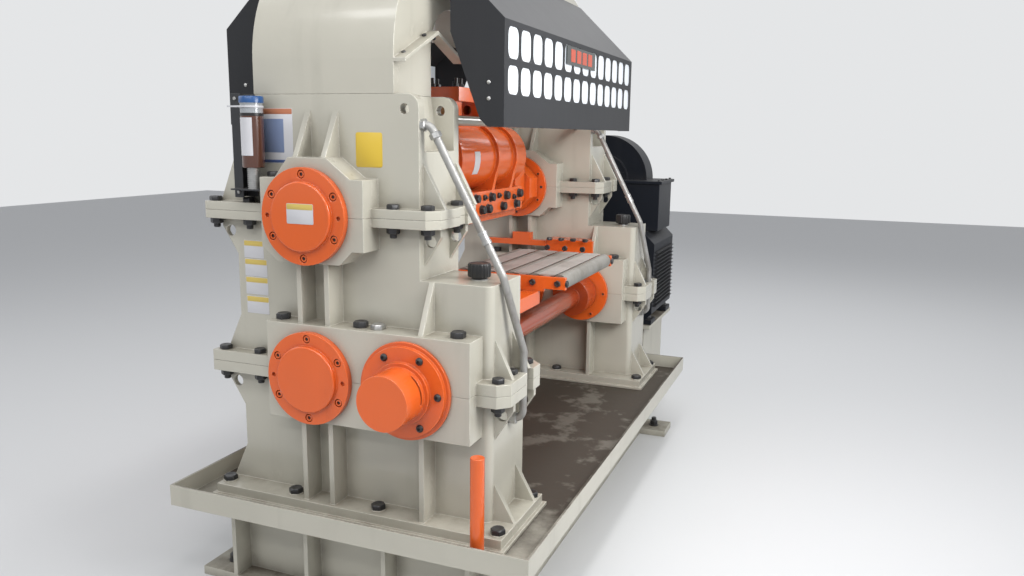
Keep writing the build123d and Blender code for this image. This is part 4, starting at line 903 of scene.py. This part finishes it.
def wrapped(inner, outer, start, end, count):
    """Outline of a bent strip: its outer arc between two angles in degrees, and its inner arc back."""
    angle = np.radians(np.linspace(start, end, count))
    arc = np.column_stack((np.cos(angle), np.sin(angle)))
    return np.concatenate((outer * arc, inner * arc[::-1]))


label_form = extruded(wrapped(34, 35, -146, -52, 16), 1447, 1562)
cup_piece("cup_label", label_form, label_white)
pump_base = 1344
rib_pitch = 6
ribs = [(radius, pump_base + rib_pitch * step + rise, 0) for step in range(11)
        for radius, rise in ((21, 0), (21, 3.2), (18, 3.4), (18, 5.8))]
cup_piece("cup_pump", turned(*ribs, around=36), rivet_steel)
cup_bolts = placed(hex_bolt(10, 5), (outwards, [(-407, -1032, 1332), (-407, -1032, 1620)]))
piece("cup_bolts", cup_bolts, rivet_steel)


# Blank plates: thin printed sheet, glued to the paint of the housing, its upper cap and the upper beam,
# with plain bands of colour and nothing written on them.
def label_colour(name, paint):
    """Printed film in one colour, faintly dusty."""
    return coat(name, enamel, {
        "Paint": paint, "Dirt And Shade": (0.40, 0.36, 0.28, 1), "Primer And Highlight": paint, "Dust On Top": 0.1,
        "Corner Soot": 0.15, "Edge Wear": 0.0, "Dullness": 0.3, "Ripple": 0.04})


def sticker(wide, high, thick, radius, *places):
    """Thin plate with rounded corners at each of the places, facing out from the operator side."""
    return placed(rounded_plate(wide, high, thick, radius), (outwards, places))


label_yellow = label_colour("label_yellow", (0.68, 0.47, 0.05, 1))
label_pale_yellow = label_colour("label_pale_yellow", (0.66, 0.50, 0.13, 1))
label_blue = label_colour("label_blue", (0.17, 0.225, 0.37, 1))
label_rust = label_colour("label_rust", (0.47, 0.17, 0.085, 1))
label_navy = label_colour("label_navy", (0.045, 0.085, 0.22, 1))
plate_face = -971
plate_thick = 0.5
band_face = plate_face - plate_thick
cap_face = -1095
cap_plate_thick = 0.6
sheet_x = -296
strip_places = [(-410, plate_face, 1142), (-404, plate_face, 1081), (-403, plate_face, 1021),
                (-402, plate_face, 957)]
white_plates = joined(
    sticker(78, 58, plate_thick, 3, strip_places[0]),
    sticker(88, 58, plate_thick, 3, *strip_places[1:]),
    sticker(110, 170, plate_thick, 2, (sheet_x, plate_face, 1507.5)),
    sticker(95, 61, cap_plate_thick, 4, (-135, cap_face, 1280)))
piece("white_plates", white_plates, label_white)
pale_bands = joined(
    sticker(76, 17, 0.2, 2, (-410, band_face, 1161)),
    sticker(86, 17, 0.2, 2, *[(x, band_face, z + 19) for x, y, z in strip_places[1:]]),
    sticker(93, 17, 0.2, 3, (-135, cap_face - cap_plate_thick, 1301)))
piece("yellow_bands", pale_bands, label_pale_yellow)
sheet_header = sticker(108, 17, 0.2, 2, (sheet_x, band_face, 1583))
piece("sheet_header", sheet_header, label_rust)
sheet_field = sticker(74, 104, 0.2, 2, (-312, band_face, 1508))
piece("sheet_field", sheet_field, label_blue)
sheet_footer = sticker(108, 9, 0.2, 2, (sheet_x, band_face, 1429))
piece("sheet_footer", sheet_footer, label_navy)
column_plate = sticker(92, 104, 0.6, 8, (32, plate_face, 1470))
piece("column_plate", column_plate, label_yellow)
beam_label = placed(extruded(wrapped(135, 136.6, -11.5, 27.6, 14), 0, 52), (inwards, [(crank_x, -122, 1425)]))
piece("beam_label", beam_label, label_white, "upper_knife_beam")


# Guard post in front of the housing's foot: a plain round steel pin in orange enamel, which stands
# upright in the drip tray.
dressed("guard_post", orange_enamel, edge=0.002)


# Main motor: ribbed frame with end shields in black enamel on a beige pedestal, a sheet box for the
# cooling air on top and a blower scroll with a rolled rim and a wire guard over its inlet.
motor_enamel = coat("motor_enamel", enamel, {
    "Paint": (0.013, 0.015, 0.020, 1), "Dirt And Shade": (0.07, 0.067, 0.063, 1), "Primer And Highlight": (0.10, 0.10, 0.10, 1),
    "Dust On Top": 0.45, "Corner Soot": 0.25, "Edge Wear": 0.5, "Dullness": 0.34, "Ripple": 0.14},
    Specular_IOR_Level=0.06)
for node in ("motor_frame", "motor_blower"):
    dressed(node, motor_enamel, edge=0.003)
dressed("motor_pedestal", base_enamel)
motor_front = 1169
motor_middle = 1449
motor_foot_top = 541
frame_half = 250
fin_levels = range(610, 925, 21)
fins = placed(rounded_plate(430, 4, 14, 1.5),
              (right, [(drive_x + frame_half, motor_middle, z) for z in fin_levels]),
              (left, [(drive_x - frame_half, motor_middle, z) for z in fin_levels]))
piece("motor_fins", fins, motor_enamel)
shield_places = on_circle(drive_x, motor_front, lower_shaft, 196, 8, 22.5)
shield_bolts = placed(hex_bolt(19, 9), (outwards, shield_places), twist=0.7)
motor_feet = [(drive_x + dx, y, motor_foot_top) for dx in (-222, 222) for y in (1252, 1646)]
foot_bolts = placed(hex_bolt(30, 16), (up, motor_feet))
box_top = 1283
lid_places = [(drive_x + dx, motor_middle + dy, box_top) for dx in (-238, 238) for dy in (-150, 150)]
lid_places += [(drive_x + 238, motor_middle + dy, box_top) for dy in (-50, 50)]
lid_bolts = placed(hex_bolt(13, 7), (up, lid_places), twist=0.7)
piece("motor_bolts", joined(shield_bolts, foot_bolts, lid_bolts), bolt_black)


def half_ring(inner, outer, low, high):
    """Upper half of a flat ring about the blower's axis."""
    return extruded(wrapped(inner, outer, 0, 180, 40), low, high)


def spoke(angle):
    """Flat spoke of the guard: a strip along X turned about the blower's axis by (cos a, sin a)."""
    strip = np.array(((20, -1.6), (133, -1.6), (133, 1.6), (20, 1.6)))
    turn = ((math.cos(angle), math.sin(angle)), (-math.sin(angle), math.cos(angle)))
    return extruded(strip @ np.array(turn), 8, 11)


blower_x = 113
blower_front = 1374
blower_deep = 150
guard = [half_ring(radius - 1.6, radius + 1.6, 9, 13) for radius in (30, 55, 80, 105, 130)]
spokes = [spoke(angle) for angle in (0.35, 1.2, 1.95, 2.8)]
front_trim = joined(half_ring(231, 240, -2, 4), *guard, *spokes)
blower_trim = joined(
    placed(front_trim, (outwards, [(blower_x, blower_front, box_top)])),
    placed(half_ring(231, 240, -4, 2), (outwards, [(blower_x, blower_front + blower_deep, box_top)])))
piece("blower_trim", blower_trim, motor_enamel)
